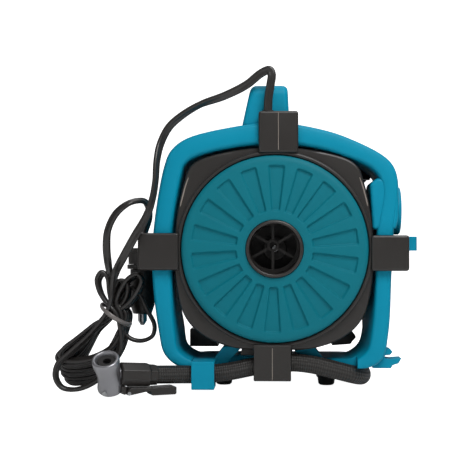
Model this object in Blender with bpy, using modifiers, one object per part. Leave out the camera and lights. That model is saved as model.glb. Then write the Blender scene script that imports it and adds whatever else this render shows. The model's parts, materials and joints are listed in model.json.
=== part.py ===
"""Portable 12 V air pump with a carry frame, an air hose and a tied cord.

Lengths are metres, angles are degrees and +Z is up. All pieces hang from one empty on the fan's
axis. In its frame the axis runs along +Y through x = 0 and z = 0, y = 0 is the front of the
housing's rim, and the pump's front looks along -Y. World z = 0 is the surface the pump stands on.
"""

import math

import bmesh
import bpy
from mathutils import Euler, Matrix, Vector

# ---- clearances ----
GAP = 0.0003  # between pieces that seat on each other
RUNNING_GAP = 0.0006  # between pieces that turn or slide past each other

# ---- overall ----
AXIS_HEIGHT = 0.0955  # the fan's axis over the surface the pump stands on
SEAM_TILT = 1.4  # how far the housing's seam leans from upright

# ---- carry frame: stations of (outer x, outer z, inner x, inner z), from the top to the left ----
FRAME_STATIONS = (
    (0.0, 0.0800, 0.0, 0.0686),
    (-0.0250, 0.0778, -0.0215, 0.0674),
    (-0.0580, 0.0696, -0.0500, 0.0612),
    (-0.0684, 0.0618, -0.0586, 0.0560),
    (-0.0724, 0.0520, -0.0616, 0.0475),
    (-0.0793, 0.0130, -0.0674, 0.0120),
    (-0.0800, -0.0160, -0.0677, -0.0160),
    (-0.0757, -0.0535, -0.0653, -0.0550),
    (-0.0718, -0.0695, -0.0626, -0.0670),
    (-0.0612, -0.0775, -0.0535, -0.0730),
    (-0.0480, -0.0775, -0.0440, -0.0730),
    (0.0480, -0.0775, 0.0400, -0.0730),
    (0.0605, -0.0773, 0.0510, -0.0728),
    (0.0696, -0.0720, 0.0598, -0.0665),
    (0.0734, -0.0550, 0.0630, -0.0540),
    (0.0755, -0.0160, 0.0660, -0.0160),
    (0.0769, 0.0110, 0.0665, 0.0110),
    (0.0800, 0.0420, 0.0702, 0.0410),
    (0.0745, 0.0596, 0.0655, 0.0545),
    (0.0477, 0.0712, 0.0425, 0.0633),
    (0.0240, 0.0776, 0.0210, 0.0674),
)
FRAME_BOTTOM = -0.0775
FRAME_FRONT = 0.0028
FRAME_SPLIT = 0.054  # where the front and rear halves meet
FRAME_BACK = 0.106
FRAME_WALL_SHARE = 0.28  # a wall of the hollow bar, of the bar's width
FRAME_WEB = 0.003  # the bar's closed front and rear faces
HAND_OPENING = (0.023, 0.089)  # the cut in the frame's top for the fingers, along y
HAND_OPENING_WIDTH = 0.040
HOSE_NOTCH = (-0.0545, 0.062)  # where the frame's bottom plate is set back for the hose
HOSE_NOTCH_DEPTH = 0.016
CORNER_NOTCH = (-0.0710, -0.0740)  # a shallow cut under the lower left corner, to x and to z
CORNER_NOTCH_DEPTH = 0.0128

# ---- handle ----
HANDLE_X = -0.006
HANDLE_BASE = 0.032
HANDLE_TOP_LEFT = -0.0155
HANDLE_TOP_RIGHT = 0.0085
HANDLE_TOP = 0.1085
HANDLE_BAR = 0.013
HANDLE_FRONT = 0.0085
HANDLE_POST = 0.014
HANDLE_SEAT = 0.0806

# ---- fan housing: the left half of its outline as (out, z); the right half mirrors it ----
HOUSING_HALF = (
    (0.0, 0.0676),
    (0.0210, 0.0664),
    (0.0492, 0.0598),
    (0.0566, 0.0542),
    (0.0604, 0.0440),
    (0.0642, 0.0280),
    (0.0662, 0.0120),
    (0.0665, -0.0160),
    (0.0600, -0.0445),
    (0.0480, -0.0575),
    (0.0280, -0.0655),
    (0.0, -0.0675),
)
HOUSING_RIGHT_SHARE = 0.98
HOUSING_FRONT_SHARE = 0.985  # the sides flare outwards from the front face
HOUSING_FACE = 0.004
HOUSING_FLARE_END = 0.022
HOUSING_BACK = 0.058
HOUSING_WALL = 0.0025
RIM_RADIUS = 0.064
RIM_BORE = 0.0615

# ---- arms of the housing that clasp the frame ----
ARM_FRONT = -0.002
ARM_PLATE = 0.0045
ARM_ROOT = 0.0624
ARM_ROOT_BACK = 0.008
ARM_ROOT_END = 0.0656
SIDE_ARM_BACK = 0.026
TOP_ARM_BACK = 0.0078

# ---- front cover and air port ----
COVER_RADIUS = 0.0608
COVER_RIBS = 18
RECESS_START = 0.0247
RECESS_END = 0.0543
RECESS_START_WIDTH = 0.006
RECESS_END_WIDTH = 0.0109
RECESS_FLOOR = -0.0028
PORT_OUTER = 0.0186
PORT_BORE = 0.0163
PORT_FRONT = -0.0072
PORT_BACK = 0.0137
GRILLE_X = -0.0012
GRILLE_Z = 0.0022
GRILLE_RIM = 0.0172
GRILLE_RIM_WIDTH = 0.0026
GRILLE_HUB = 0.0040
GRILLE_HUB_BORE = 0.0023
GRILLE_SPOKE = 0.0018
GRILLE_DEPTH = 0.003
GRILLE_SPOKES = 6

# ---- fan ----
IMPELLER_RADIUS = 0.048
IMPELLER_FRONT = 0.024
IMPELLER_BACK = 0.0435
IMPELLER_PLATE = 0.0015
IMPELLER_HUB = 0.008
BLADES = 12
BLADE_ROOT = 0.020
BLADE_THICKNESS = 0.0013
BLADE_SWEEP = 32.0
SHAFT_RADIUS = 0.0020
SHAFT_FRONT = 0.030
SHAFT_BACK = 0.1115

# ---- bulkhead, rear housing and rear cover ----
FAN_PLATE = 0.0025
FAN_PLATE_SHARE = 0.97
REAR_CENTRE = (-0.002, -0.003)
REAR_HALF = (0.0555, 0.0600)
REAR_POWER = 5.0
REAR_BACK = 0.120
REAR_WALL = 0.0025
REAR_COVER_BACK = 0.138
LUG_FRONT = 0.064
LUG_BACK = 0.078
LUG_WIDTH = 0.005
LUGS = (  # (start x, start z, end x, end z)
    (-0.042, 0.046, -0.0560, 0.0510),
    (0.040, 0.046, 0.0645, 0.0498),
    (-0.042, -0.050, -0.0595, -0.0645),
    (0.040, -0.050, 0.0560, -0.0640),
)

# ---- motor ----
MOTOR_RADIUS = 0.0185
MOTOR_BACK = 0.098
MOTOR_WALL = 0.0018
ROTOR_RADIUS = 0.0150
BEARING_RADIUS = 0.0050
BEARING_WIDTH = 0.004

# ---- compressor: gears of a pump with a crank and an upright cylinder ----
GEAR_MODULE = 0.001
PINION_TEETH = 10
GEAR_TEETH = 40
GEAR_BACKLASH = 0.0005
GEAR_WIDTH = 0.005
GEAR_PLATE = 0.0027
GEAR_AXLE_RADIUS = 0.0025
CRANK_THROW = 0.0025
CRANK_PIN_RADIUS = 0.0022
ROD_EYE_RADIUS = 0.0052
ROD_WIDTH = 0.0045
ROD_NECK = 0.0030
CYLINDER_BORE = 0.0130
CYLINDER_RADIUS = 0.0148
CYLINDER_FOOT = 0.0208
CYLINDER_TOP = 0.0420
FIN_RADIUS = 0.0168
FINS = 3
PISTON_REST = 0.0330  # the cup's underside with the crank pin in the middle of its height
PISTON_THICKNESS = 0.0035
VALVE_PLATE = 0.0015
HEAD_TOP = 0.0500
BARB_RADIUS = 0.0025
AIR_TUBE_RADIUS = 0.0028

# ---- air hose and chuck ----
HOSE_RADIUS = 0.0060
HOSE_START = (0.0605, 0.1245, -0.0400)
HOSE_ROUTE = (
    HOSE_START,
    (0.0630, 0.1245, -0.0400),
    (0.0668, 0.1245, -0.0420),
    (0.0706, 0.1242, -0.0465),
    (0.0718, 0.1222, -0.0570),
    (0.0706, 0.1165, -0.0730),
    (0.0650, 0.1060, -0.0848),
    (0.0610, 0.0850, -0.0852),
    (0.0598, 0.0600, -0.0850),
    (0.0592, 0.0350, -0.0848),
    (0.0570, 0.0210, -0.0845),
    (0.0500, 0.0112, -0.0822),
    (0.0380, 0.0088, -0.0790),
    (0.0250, 0.0088, -0.0760),
    (0.0120, 0.0090, -0.0747),
    (-0.0020, 0.0090, -0.0757),
    (-0.0140, 0.0090, -0.0775),
    (-0.0300, 0.0084, -0.0806),
    (-0.0465, 0.0066, -0.0822),
    (-0.0630, 0.0005, -0.0818),
    (-0.0782, -0.0063, -0.0812),
)
HOSE_YAW = 24.0  # the hose's end swings this far towards the front
GRIP_LENGTH = 0.0180
GRIP_ACROSS = 0.0152
CHUCK_TILT = 34.0
CHUCK_DISTANCE = 0.0300  # its centre from the hose's end, along the grip
CHUCK_LIFT = 0.0018
CHUCK_RADIUS = 0.0088
CHUCK_LENGTH = 0.0252
CHUCK_EDGE = 0.0008
CHUCK_WAIST = 0.0076
CHUCK_BORE = 0.0042
CHUCK_MOUTH = 0.0062
CHUCK_MOUTH_DEPTH = 0.0050
STEM_RADIUS = 0.0040
LEVER_WIDTH = 0.0110
LEVER_THICKNESS = 0.0026
LEVER_LENGTH = 0.0360
LEVER_PIN_RADIUS = 0.0012
LEVER_HINGE = (0.0122, 0.0126)  # from the chuck's centre: towards the hose, and down

# ---- hose clip ----
CLIP_CENTRE_X = -0.0465
CLIP_WIDTH = 0.0148
CLIP_WALL = 0.0024
CLIP_FRONT = -0.0049
CLIP_BACK = 0.0135
CLIP_BOTTOM = -0.0912

# ---- gauge ----
GAUGE_Y = 0.024
GAUGE_Z = 0.0255
POD_RADIUS = 0.0160
POD_INNER_X = 0.0668
POD_OUTER_X = 0.0832
GAUGE_RADIUS = 0.0133
GAUGE_BACK_X = 0.0712
NEEDLE_LENGTH = 0.0085

# ---- mode knob and its switch box ----
KNOB_Y = 0.0640
KNOB_Z = 0.0035
KNOB_SHAFT_RADIUS = 0.0050
KNOB_DISC_RADIUS = 0.0088
KNOB_WING = (0.0300, 0.0098)
KNOB_TIP_X = 0.0986
SWITCH_BOX_X = (0.0546, 0.0642)
SWITCH_BOX_Z = (-0.0394, 0.0120)

# ---- accessory fork at the frame's lower right ----
FORK_DEPTH = 0.014
FORK_Y = 0.0175

# ---- feet ----
FOOT_RADIUS = 0.0056
FOOT_X = 0.036
FOOT_YS = (0.060, 0.100)
FOOT_STEP = 0.0016

# ---- cord ----
CORD_RADIUS = 0.0028
GLAND_X = -0.0043
GLAND_Y = 0.0026
GLAND_RADIUS = 0.0040
GLAND_HEIGHT = 0.0040
LEAD_ROUTE = (
    (-0.0043, 0.0026, 0.0946),
    (-0.0041, 0.0026, 0.1010),
    (-0.0030, 0.0026, 0.1090),
    (-0.0030, 0.0028, 0.1165),
    (-0.0075, 0.0032, 0.1172),
    (-0.0185, 0.0040, 0.1085),
    (-0.0330, 0.0050, 0.1005),
    (-0.0490, 0.0060, 0.0950),
    (-0.0615, 0.0060, 0.0875),
    (-0.0695, 0.0050, 0.0800),
    (-0.0748, 0.0030, 0.0690),
    (-0.0768, -0.0010, 0.0575),
    (-0.0775, -0.0030, 0.0440),
    (-0.0795, -0.0035, 0.0320),
    (-0.0830, -0.0045, 0.0215),
    (-0.0905, -0.0070, 0.0080),
    (-0.0985, -0.0050, -0.0060),
    (-0.1040, 0.0040, -0.0140),
    (-0.1058, 0.0090, -0.0190),
    (-0.1062, 0.0100, -0.0236),
)
TAIL_ROUTE = (
    (-0.1105, 0.0220, -0.0236),
    (-0.1107, 0.0212, -0.0185),
    (-0.1112, 0.0150, -0.0080),
    (-0.1112, 0.0080, 0.0020),
    (-0.1095, 0.0040, 0.0130),
    (-0.1040, 0.0030, 0.0235),
    (-0.0960, 0.0040, 0.0300),
    (-0.0885, 0.0110, 0.0320),
    (-0.0855, 0.0220, 0.0290),
    (-0.0860, 0.0340, 0.0210),
    (-0.0905, 0.0440, 0.0110),
    (-0.0920, 0.0450, 0.0040),
)
HANK_OUTLINE = (
    (-0.1170, -0.0243),
    (-0.1035, -0.0243),
    (-0.0990, -0.0430),
    (-0.0860, -0.0560),
    (-0.0790, -0.0640),
    (-0.0870, -0.0730),
    (-0.1010, -0.0790),
    (-0.1100, -0.0900),
    (-0.1250, -0.0950),
    (-0.1400, -0.0950),
    (-0.1470, -0.0890),
    (-0.1470, -0.0760),
    (-0.1380, -0.0600),
    (-0.1190, -0.0400),
)
HANK_FRONT = 0.002
HANK_BACK = 0.040
PLUG_X = -0.0920
PLUG_Y = 0.0450
PLUG_TOP = 0.0005
PLUG_RADIUS = 0.0098
PLUG_COLLAR_Z = -0.0125
PLUG_BOTTOM = -0.0450
PLUG_NOSE_RADIUS = 0.0075
TIP_RADIUS = 0.0032
TIP_TRAVEL = 0.0025
TIP_BOTTOM = -0.0530

# ---- fasteners ----
SCREW_HEAD_RADIUS = 0.0032
SCREW_HEAD_HEIGHT = 0.0014

CHUCK_CENTRE = (
    HOSE_ROUTE[-1][0] - CHUCK_DISTANCE * math.cos(math.radians(HOSE_YAW)),
    HOSE_ROUTE[-1][1] - CHUCK_DISTANCE * math.sin(math.radians(HOSE_YAW)),
    HOSE_ROUTE[-1][2] + CHUCK_LIFT,
)
CHUCK_FRONT = (
    CHUCK_CENTRE[1]
    - (CHUCK_LENGTH / 2 - CHUCK_EDGE) * math.sin(math.radians(CHUCK_TILT))
    - CHUCK_RADIUS * math.cos(math.radians(CHUCK_TILT))
)
CHUCK_LEFT = CHUCK_CENTRE[0] - CHUCK_RADIUS

AXIS_WORLD = Vector(
    (
        -(CHUCK_LEFT + KNOB_TIP_X) / 2,
        -(CHUCK_FRONT + REAR_COVER_BACK + GAP + SCREW_HEAD_HEIGHT) / 2,
        AXIS_HEIGHT,
    )
)


# ---- scene, collections and materials ----
def clear_scene():
    for old in list(bpy.data.objects):
        bpy.data.objects.remove(old, do_unlink=True)


def collection(name):
    made = bpy.data.collections.new(name)
    bpy.context.scene.collection.children.link(made)
    return made


def material(name, colour, roughness, metallic=0.0):
    made = bpy.data.materials.new(name)
    made.use_nodes = True
    shader = made.node_tree.nodes["Principled BSDF"]
    shader.inputs["Base Color"].default_value = (*colour, 1.0)
    shader.inputs["Roughness"].default_value = roughness
    shader.inputs["Metallic"].default_value = metallic
    return made


clear_scene()
PUMP = collection("portable_air_pump")
CUTTERS = collection("cutters")

ORIGIN = bpy.data.objects.new("fan_axis", None)
ORIGIN.location = AXIS_WORLD
PUMP.objects.link(ORIGIN)

TEAL = material("teal_abs", (0.005, 0.275, 0.434), 0.42)
COVER_TEAL = material("cover_teal_abs", (0.010, 0.212, 0.275), 0.45)
BLACK = material("black_abs", (0.024, 0.021, 0.020), 0.45)
RUBBER = material("black_rubber", (0.012, 0.012, 0.012), 0.75)
BRAID = material("braided_rubber", (0.020, 0.019, 0.019), 0.6)
PVC = material("cord_pvc", (0.028, 0.027, 0.027), 0.5)
ZINC = material("zinc_alloy", (0.55, 0.55, 0.56), 0.28, 1.0)
STEEL = material("steel", (0.56, 0.57, 0.58), 0.32, 1.0)
BRASS = material("brass", (0.72, 0.50, 0.22), 0.32, 1.0)
ALUMINIUM = material("cast_aluminium", (0.62, 0.63, 0.64), 0.42, 1.0)
NYLON = material("white_nylon", (0.72, 0.71, 0.67), 0.5)
DIAL_WHITE = material("dial_white", (0.80, 0.80, 0.78), 0.5)
RED = material("needle_red", (0.55, 0.02, 0.02), 0.4)
CLEAR = material("clear_polycarbonate", (0.80, 0.84, 0.86), 0.08)

# Directions that a piece's own Z axis can point along.
UP = Vector((0, 0, 1))
DOWN = Vector((0, 0, -1))
BACK = Vector((0, 1, 0))
FRONT = Vector((0, -1, 0))
RIGHT = Vector((1, 0, 0))
HOSE_OUT = Vector(
    (-math.cos(math.radians(HOSE_YAW)), -math.sin(math.radians(HOSE_YAW)), 0)
)
CHUCK_UP = Vector(
    (0, -math.sin(math.radians(CHUCK_TILT)), math.cos(math.radians(CHUCK_TILT)))
)


# ---- shape tools ----
def place(name, data, finish, at=(0, 0, 0), turn=None, cutter=False):
    """Links a piece or, as a cutter, a guide that only the Boolean modifiers read."""
    made = bpy.data.objects.new(name, data)
    made.parent = ORIGIN
    made.location = at
    if turn is not None:
        made.rotation_mode = "QUATERNION"
        made.rotation_quaternion = turn
    if finish is not None:
        data.materials.append(finish)
    (CUTTERS if cutter else PUMP).objects.link(made)
    if cutter:
        made.hide_render = True
        made.display_type = "WIRE"
    return made


def facing(direction):
    """The turn that brings a piece's own Z axis to a direction."""
    return Vector((0, 0, 1)).rotation_difference(Vector(direction))


def axes_turn(x_axis, y_axis):
    """The turn that brings a piece's own X and Y axes to two directions."""
    x_axis, y_axis = Vector(x_axis).normalized(), Vector(y_axis).normalized()
    return Matrix((x_axis, y_axis, x_axis.cross(y_axis))).transposed().to_quaternion()


def smooth(obj, angle=35.0):
    obj.data.shade_smooth()
    obj.data.set_sharp_from_angle(angle=math.radians(angle))
    return obj


def box(name, low, high, finish=None, cutter=False):
    low, high = Vector(low), Vector(high)
    mesh = bpy.data.meshes.new(name)
    work = bmesh.new()
    bmesh.ops.create_cube(work, size=1.0)
    bmesh.ops.scale(work, vec=high - low, verts=work.verts)
    bmesh.ops.translate(work, vec=(low + high) / 2, verts=work.verts)
    work.to_mesh(mesh)
    work.free()
    return place(name, mesh, finish, cutter=cutter)


def cylinder(name, start, direction, radius, length, finish=None, sides=24, cutter=False):
    """A cylinder or, with a pair of radii, a cone, from its start along a direction."""
    first, last = radius if isinstance(radius, tuple) else (radius, radius)
    mesh = bpy.data.meshes.new(name)
    work = bmesh.new()
    bmesh.ops.create_cone(
        work, cap_ends=True, segments=sides, radius1=first, radius2=last, depth=length
    )
    bmesh.ops.translate(work, vec=(0, 0, length / 2), verts=work.verts)
    work.to_mesh(mesh)
    work.free()
    return smooth(place(name, mesh, finish, start, facing(direction), cutter))


def turned(name, profile, at, direction, finish=None, steps=28, closed=False, cutter=False):
    """A profile of (radius, height) turned about the direction, from its top down the outside."""
    mesh = bpy.data.meshes.new(name)
    work = bmesh.new()
    points = [work.verts.new((radius, 0, height)) for radius, height in profile]
    for first, last in zip(points, points[1:] + points[:1] if closed else points[1:]):
        work.edges.new((first, last))
    work.to_mesh(mesh)
    work.free()
    made = place(name, mesh, finish, at, facing(direction), cutter)
    screw = made.modifiers.new("turn", "SCREW")
    screw.steps = screw.render_steps = steps
    screw.use_merge_vertices = True
    screw.merge_threshold = 0.00001
    return made


def plate(name, outlines, thickness, at, turn, finish=None, cutter=False):
    """Flat outlines filled and thickened evenly to both sides; outlines inside others are holes."""
    curve = bpy.data.curves.new(name, "CURVE")
    curve.dimensions = "2D"
    curve.fill_mode = "BOTH"
    curve.extrude = thickness / 2
    for outline in outlines:
        spline = curve.splines.new("POLY")
        spline.points.add(len(outline) - 1)
        for point, (x, y) in zip(spline.points, outline):
            point.co = (x, y, 0, 1)
        spline.use_cyclic_u = True
    guide = bpy.data.objects.new(name + "_curve", curve)
    CUTTERS.objects.link(guide)
    bpy.context.view_layer.update()
    mesh = bpy.data.meshes.new_from_object(
        guide.evaluated_get(bpy.context.evaluated_depsgraph_get())
    )
    bpy.data.objects.remove(guide, do_unlink=True)
    work = bmesh.new()
    work.from_mesh(mesh)
    bmesh.ops.remove_doubles(work, verts=work.verts, dist=0.00001)
    bmesh.ops.recalc_face_normals(work, faces=work.faces)
    work.to_mesh(mesh)
    work.free()
    return place(name, mesh, finish, at, turn, cutter)


def curved(points, per_span, closed):
    """Points along a smooth curve through the given ones, evenly timed by the root of their gaps."""
    points = [Vector(p) for p in points]
    count = len(points)
    out = []
    for i in range(count if closed else count - 1):
        a, b, c, d = (
            points[k % count] if closed else points[min(max(k, 0), count - 1)]
            for k in (i - 1, i, i + 1, i + 2)
        )
        if a == b:
            a = b + (b - c)
        if c == d:
            d = c + (c - b)
        t1 = (b - a).length ** 0.5
        t2 = t1 + (c - b).length ** 0.5
        t3 = t2 + (d - c).length ** 0.5
        for j in range(per_span):
            t = t1 + (t2 - t1) * j / per_span
            ab = a.lerp(b, t / t1)
            bc = b.lerp(c, (t - t1) / (t2 - t1))
            cd = c.lerp(d, (t - t2) / (t3 - t2))
            abc = ab.lerp(bc, t / t2)
            bcd = bc.lerp(cd, (t - t1) / (t3 - t1))
            out.append(abc.lerp(bcd, (t - t1) / (t2 - t1)))
    if not closed:
        out.append(points[-1])
    return out


def tube(name, route, radius, finish, per_span=2, resolution=2):
    """A round tube along a smooth route, closed at both ends."""
    curve = bpy.data.curves.new(name, "CURVE")
    curve.dimensions = "3D"
    curve.bevel_depth = radius
    curve.bevel_resolution = resolution
    curve.use_fill_caps = True
    spline = curve.splines.new("POLY")
    line = curved(route, per_span, closed=False)
    spline.points.add(len(line) - 1)
    for point, co in zip(spline.points, line):
        point.co = (*co, 1)
    return place(name, curve, finish)


def loft(name, rings, finish, closed=False):
    """A skin through rings of equal count; a closed loft joins the last ring to the first."""
    mesh = bpy.data.meshes.new(name)
    work = bmesh.new()
    made = [[work.verts.new(point) for point in ring] for ring in rings]
    for first, last in zip(made, made[1:] + made[:1] if closed else made[1:]):
        for i in range(len(first)):
            j = (i + 1) % len(first)
            work.faces.new((first[i], first[j], last[j], last[i]))
    if not closed:
        work.faces.new(list(reversed(made[0])))
        work.faces.new(made[-1])
    bmesh.ops.recalc_face_normals(work, faces=work.faces)
    work.to_mesh(mesh)
    work.free()
    return smooth(place(name, mesh, finish))


def combine(target, other, operation):
    modifier = target.modifiers.new(other.name, "BOOLEAN")
    modifier.operation = operation
    modifier.object = other
    return target


def cut(target, *others):
    for other in others:
        combine(target, other, "DIFFERENCE")
    return target


def join(target, *others):
    for other in others:
        combine(target, other, "UNION")
    return target


def at_depth(outline, y, share=1.0):
    return [(x * share, y, z * share) for x, z in outline]


def circle_under(outline, radius, y):
    """Points at a radius from the axis, one in the direction of each point of the outline."""
    return [
        (x / math.hypot(x, z) * radius, y, z / math.hypot(x, z) * radius)
        for x, z in outline
    ]


def rounded_box(width, height, radius, steps=3):
    """The outline of a rectangle about the centre, with round corners."""
    out = []
    for corner, (sx, sy) in enumerate(((1, 1), (-1, 1), (-1, -1), (1, -1))):
        for i in range(steps + 1):
            angle = math.radians(90 * (corner + i / steps))
            out.append(
                (
                    sx * (width / 2 - radius) + radius * math.cos(angle),
                    sy * (height / 2 - radius) + radius * math.sin(angle),
                )
            )
    return out


def arc(radius, start, stop, steps, centre=(0.0, 0.0)):
    return [
        (
            centre[0] + radius * math.cos(math.radians(start + (stop - start) * i / steps)),
            centre[1] + radius * math.sin(math.radians(start + (stop - start) * i / steps)),
        )
        for i in range(steps + 1)
    ]


# ---- carry frame ----
OUTER = [tuple(p[:2]) for p in curved([(a, b, 0) for a, b, c, d in FRAME_STATIONS], 2, True)]
INNER = [tuple(p[:2]) for p in curved([(c, d, 0) for a, b, c, d in FRAME_STATIONS], 2, True)]


def between(share):
    """The outline between the frame's outer and inner ones."""
    return [
        (ox + (ix - ox) * share, oz + (iz - oz) * share)
        for (ox, oz), (ix, iz) in zip(OUTER, INNER)
    ]


def frame_half(name, face, split):
    """A hollow ring that is open where it meets the other half."""
    inside = face + FRAME_WEB * (1 if split > face else -1)
    outer_wall, inner_wall = between(FRAME_WALL_SHARE), between(1 - FRAME_WALL_SHARE)
    rings = [
        at_depth(OUTER, face),
        at_depth(OUTER, split),
        at_depth(outer_wall, split),
        at_depth(outer_wall, inside),
        at_depth(inner_wall, inside),
        at_depth(inner_wall, split),
        at_depth(INNER, split),
        at_depth(INNER, face),
    ]
    return loft(name, rings, TEAL, closed=True)


def hand_opening(name):
    half = HANDLE_X - HAND_OPENING_WIDTH / 2, HANDLE_X + HAND_OPENING_WIDTH / 2
    return box(
        name,
        (half[0], HAND_OPENING[0], 0.060),
        (half[1], HAND_OPENING[1], 0.090),
        cutter=True,
    )


def accessory_fork():
    """Two prongs that hold a nozzle, on a root that reaches into the frame's corner."""
    outline = [
        (0.0640, -0.0705),
        (0.0688, -0.0682),
        (0.0720, -0.0660),
        (0.0758, -0.0656),
        (0.0774, -0.0676),
        (0.0758, -0.0696),
        (0.0722, -0.0700),
        (0.0722, -0.0718),
        (0.0762, -0.0722),
        (0.0832, -0.0716),
        (0.0812, -0.0752),
        (0.0772, -0.0764),
        (0.0764, -0.0784),
        (0.0640, -0.0784),
    ]
    return plate(
        "fork", [outline], FORK_DEPTH, (0, FORK_Y, 0), axes_turn(RIGHT, UP), cutter=True
    )


def gauge_pod():
    pod = cylinder(
        "pod",
        (POD_INNER_X, GAUGE_Y, GAUGE_Z),
        RIGHT,
        POD_RADIUS,
        POD_OUTER_X - POD_INNER_X,
        sides=32,
        cutter=True,
    )
    bore = cylinder(
        "pod_bore",
        (GAUGE_BACK_X - GAP, GAUGE_Y, GAUGE_Z),
        RIGHT,
        GAUGE_RADIUS + GAP,
        0.03,
        sides=32,
        cutter=True,
    )
    return pod, bore


def carry_frame():
    front = frame_half("carry_frame_front", FRAME_FRONT, FRAME_SPLIT)
    rear = frame_half("carry_frame_rear", FRAME_BACK, FRAME_SPLIT + GAP)
    pod, bore = gauge_pod()
    join(front, pod, accessory_fork())
    notch = box(
        "hose_notch",
        (HOSE_NOTCH[0], -0.01, -0.09),
        (HOSE_NOTCH[1], HOSE_NOTCH_DEPTH, FRAME_BOTTOM + 0.0085),
        cutter=True,
    )
    corner_notch = box(
        "corner_notch",
        (CORNER_NOTCH[0], -0.01, -0.09),
        (HOSE_NOTCH[0] + 0.002, CORNER_NOTCH_DEPTH, CORNER_NOTCH[1]),
        cutter=True,
    )
    cut(front, bore, hand_opening("front_hand_opening"), notch, corner_notch)
    knob_hole = cylinder(
        "knob_hole",
        (0.05, KNOB_Y, KNOB_Z),
        RIGHT,
        KNOB_SHAFT_RADIUS + RUNNING_GAP,
        0.05,
        cutter=True,
    )
    cut(rear, hand_opening("rear_hand_opening"), knob_hole)


def handle():
    """An arch along y whose sides lean in towards its top."""
    low, high = HANDLE_SEAT, HANDLE_TOP
    front, back = HANDLE_FRONT, FRAME_BACK
    under = high - HANDLE_BAR
    side = [
        (front, low),
        (front, high - 0.010),
        (front + 0.003, high - 0.003),
        (front + 0.010, high),
        (back - 0.010, high),
        (back - 0.003, high - 0.003),
        (back, high - 0.010),
        (back, low),
        (back - HANDLE_POST, low),
        (back - HANDLE_POST, under - 0.005),
        (back - HANDLE_POST - 0.005, under),
        (front + HANDLE_POST + 0.005, under),
        (front + HANDLE_POST, under - 0.005),
        (front + HANDLE_POST, low),
    ]
    made = plate(
        "handle", [side], HANDLE_BASE, (HANDLE_X, 0, 0), axes_turn(BACK, UP), TEAL
    )
    left, right = HANDLE_X - HANDLE_BASE / 2, HANDLE_X + HANDLE_BASE / 2
    for name, base, top, far in (
        ("handle_left", left, HANDLE_TOP_LEFT, -0.060),
        ("handle_right", right, HANDLE_TOP_RIGHT, 0.050),
    ):
        lean = (top - base) / (high - low)
        outline = [
            (base - lean * 0.01, low - 0.01),
            (top + lean * 0.01, high + 0.01),
            (far, high + 0.01),
            (far, low - 0.01),
        ]
        cut(
            made,
            plate(name, [outline], 0.2, (0, 0.06, 0), axes_turn(RIGHT, UP), cutter=True),
        )


def hose_clip():
    """A strap from the frame's notch, down in front of the hose and back under it."""
    top = FRAME_BOTTOM + 0.0046
    wall = CLIP_WALL
    back = HOSE_NOTCH_DEPTH - GAP
    side = [
        (CLIP_FRONT, top),
        (CLIP_FRONT, CLIP_BOTTOM),
        (CLIP_BACK, CLIP_BOTTOM),
        (CLIP_BACK + 0.0015, CLIP_BOTTOM + wall + 0.0015),
        (CLIP_BACK - wall + 0.0030, CLIP_BOTTOM + wall + 0.0020),
        (CLIP_BACK - wall + 0.0006, CLIP_BOTTOM + wall),
        (CLIP_FRONT + wall, CLIP_BOTTOM + wall),
        (CLIP_FRONT + wall, top - wall),
        (back, top - wall),
        (back, top),
    ]
    plate(
        "hose_clip",
        [side],
        CLIP_WIDTH,
        (CLIP_CENTRE_X, 0, 0),
        axes_turn(BACK, UP),
        TEAL,
    )


# ---- fan housing ----
def housing_outline():
    right = [(x * HOUSING_RIGHT_SHARE, z) for x, z in HOUSING_HALF[-2:0:-1]]
    left = [(-x, z) for x, z in HOUSING_HALF]
    return [tuple(p[:2]) for p in curved([(x, z, 0) for x, z in left + right], 2, True)]


def arm(name, outward, across_centre, width, reach, wall, back, root_end=ARM_ROOT_END):
    """A plate in front of the frame's bar, with a block behind it beyond the bar."""
    outward = Vector(outward)
    across = outward.cross(BACK)
    plate_back = ARM_FRONT + ARM_PLATE
    side = [
        (ARM_ROOT, ARM_FRONT),
        (reach, ARM_FRONT),
        (reach, back),
        (wall, back),
        (wall, plate_back),
        (root_end, plate_back),
        (root_end, ARM_ROOT_BACK),
        (ARM_ROOT, ARM_ROOT_BACK),
    ]
    return plate(
        name,
        [side],
        width,
        across * across_centre,
        axes_turn(outward, BACK),
        cutter=True,
    )


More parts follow.
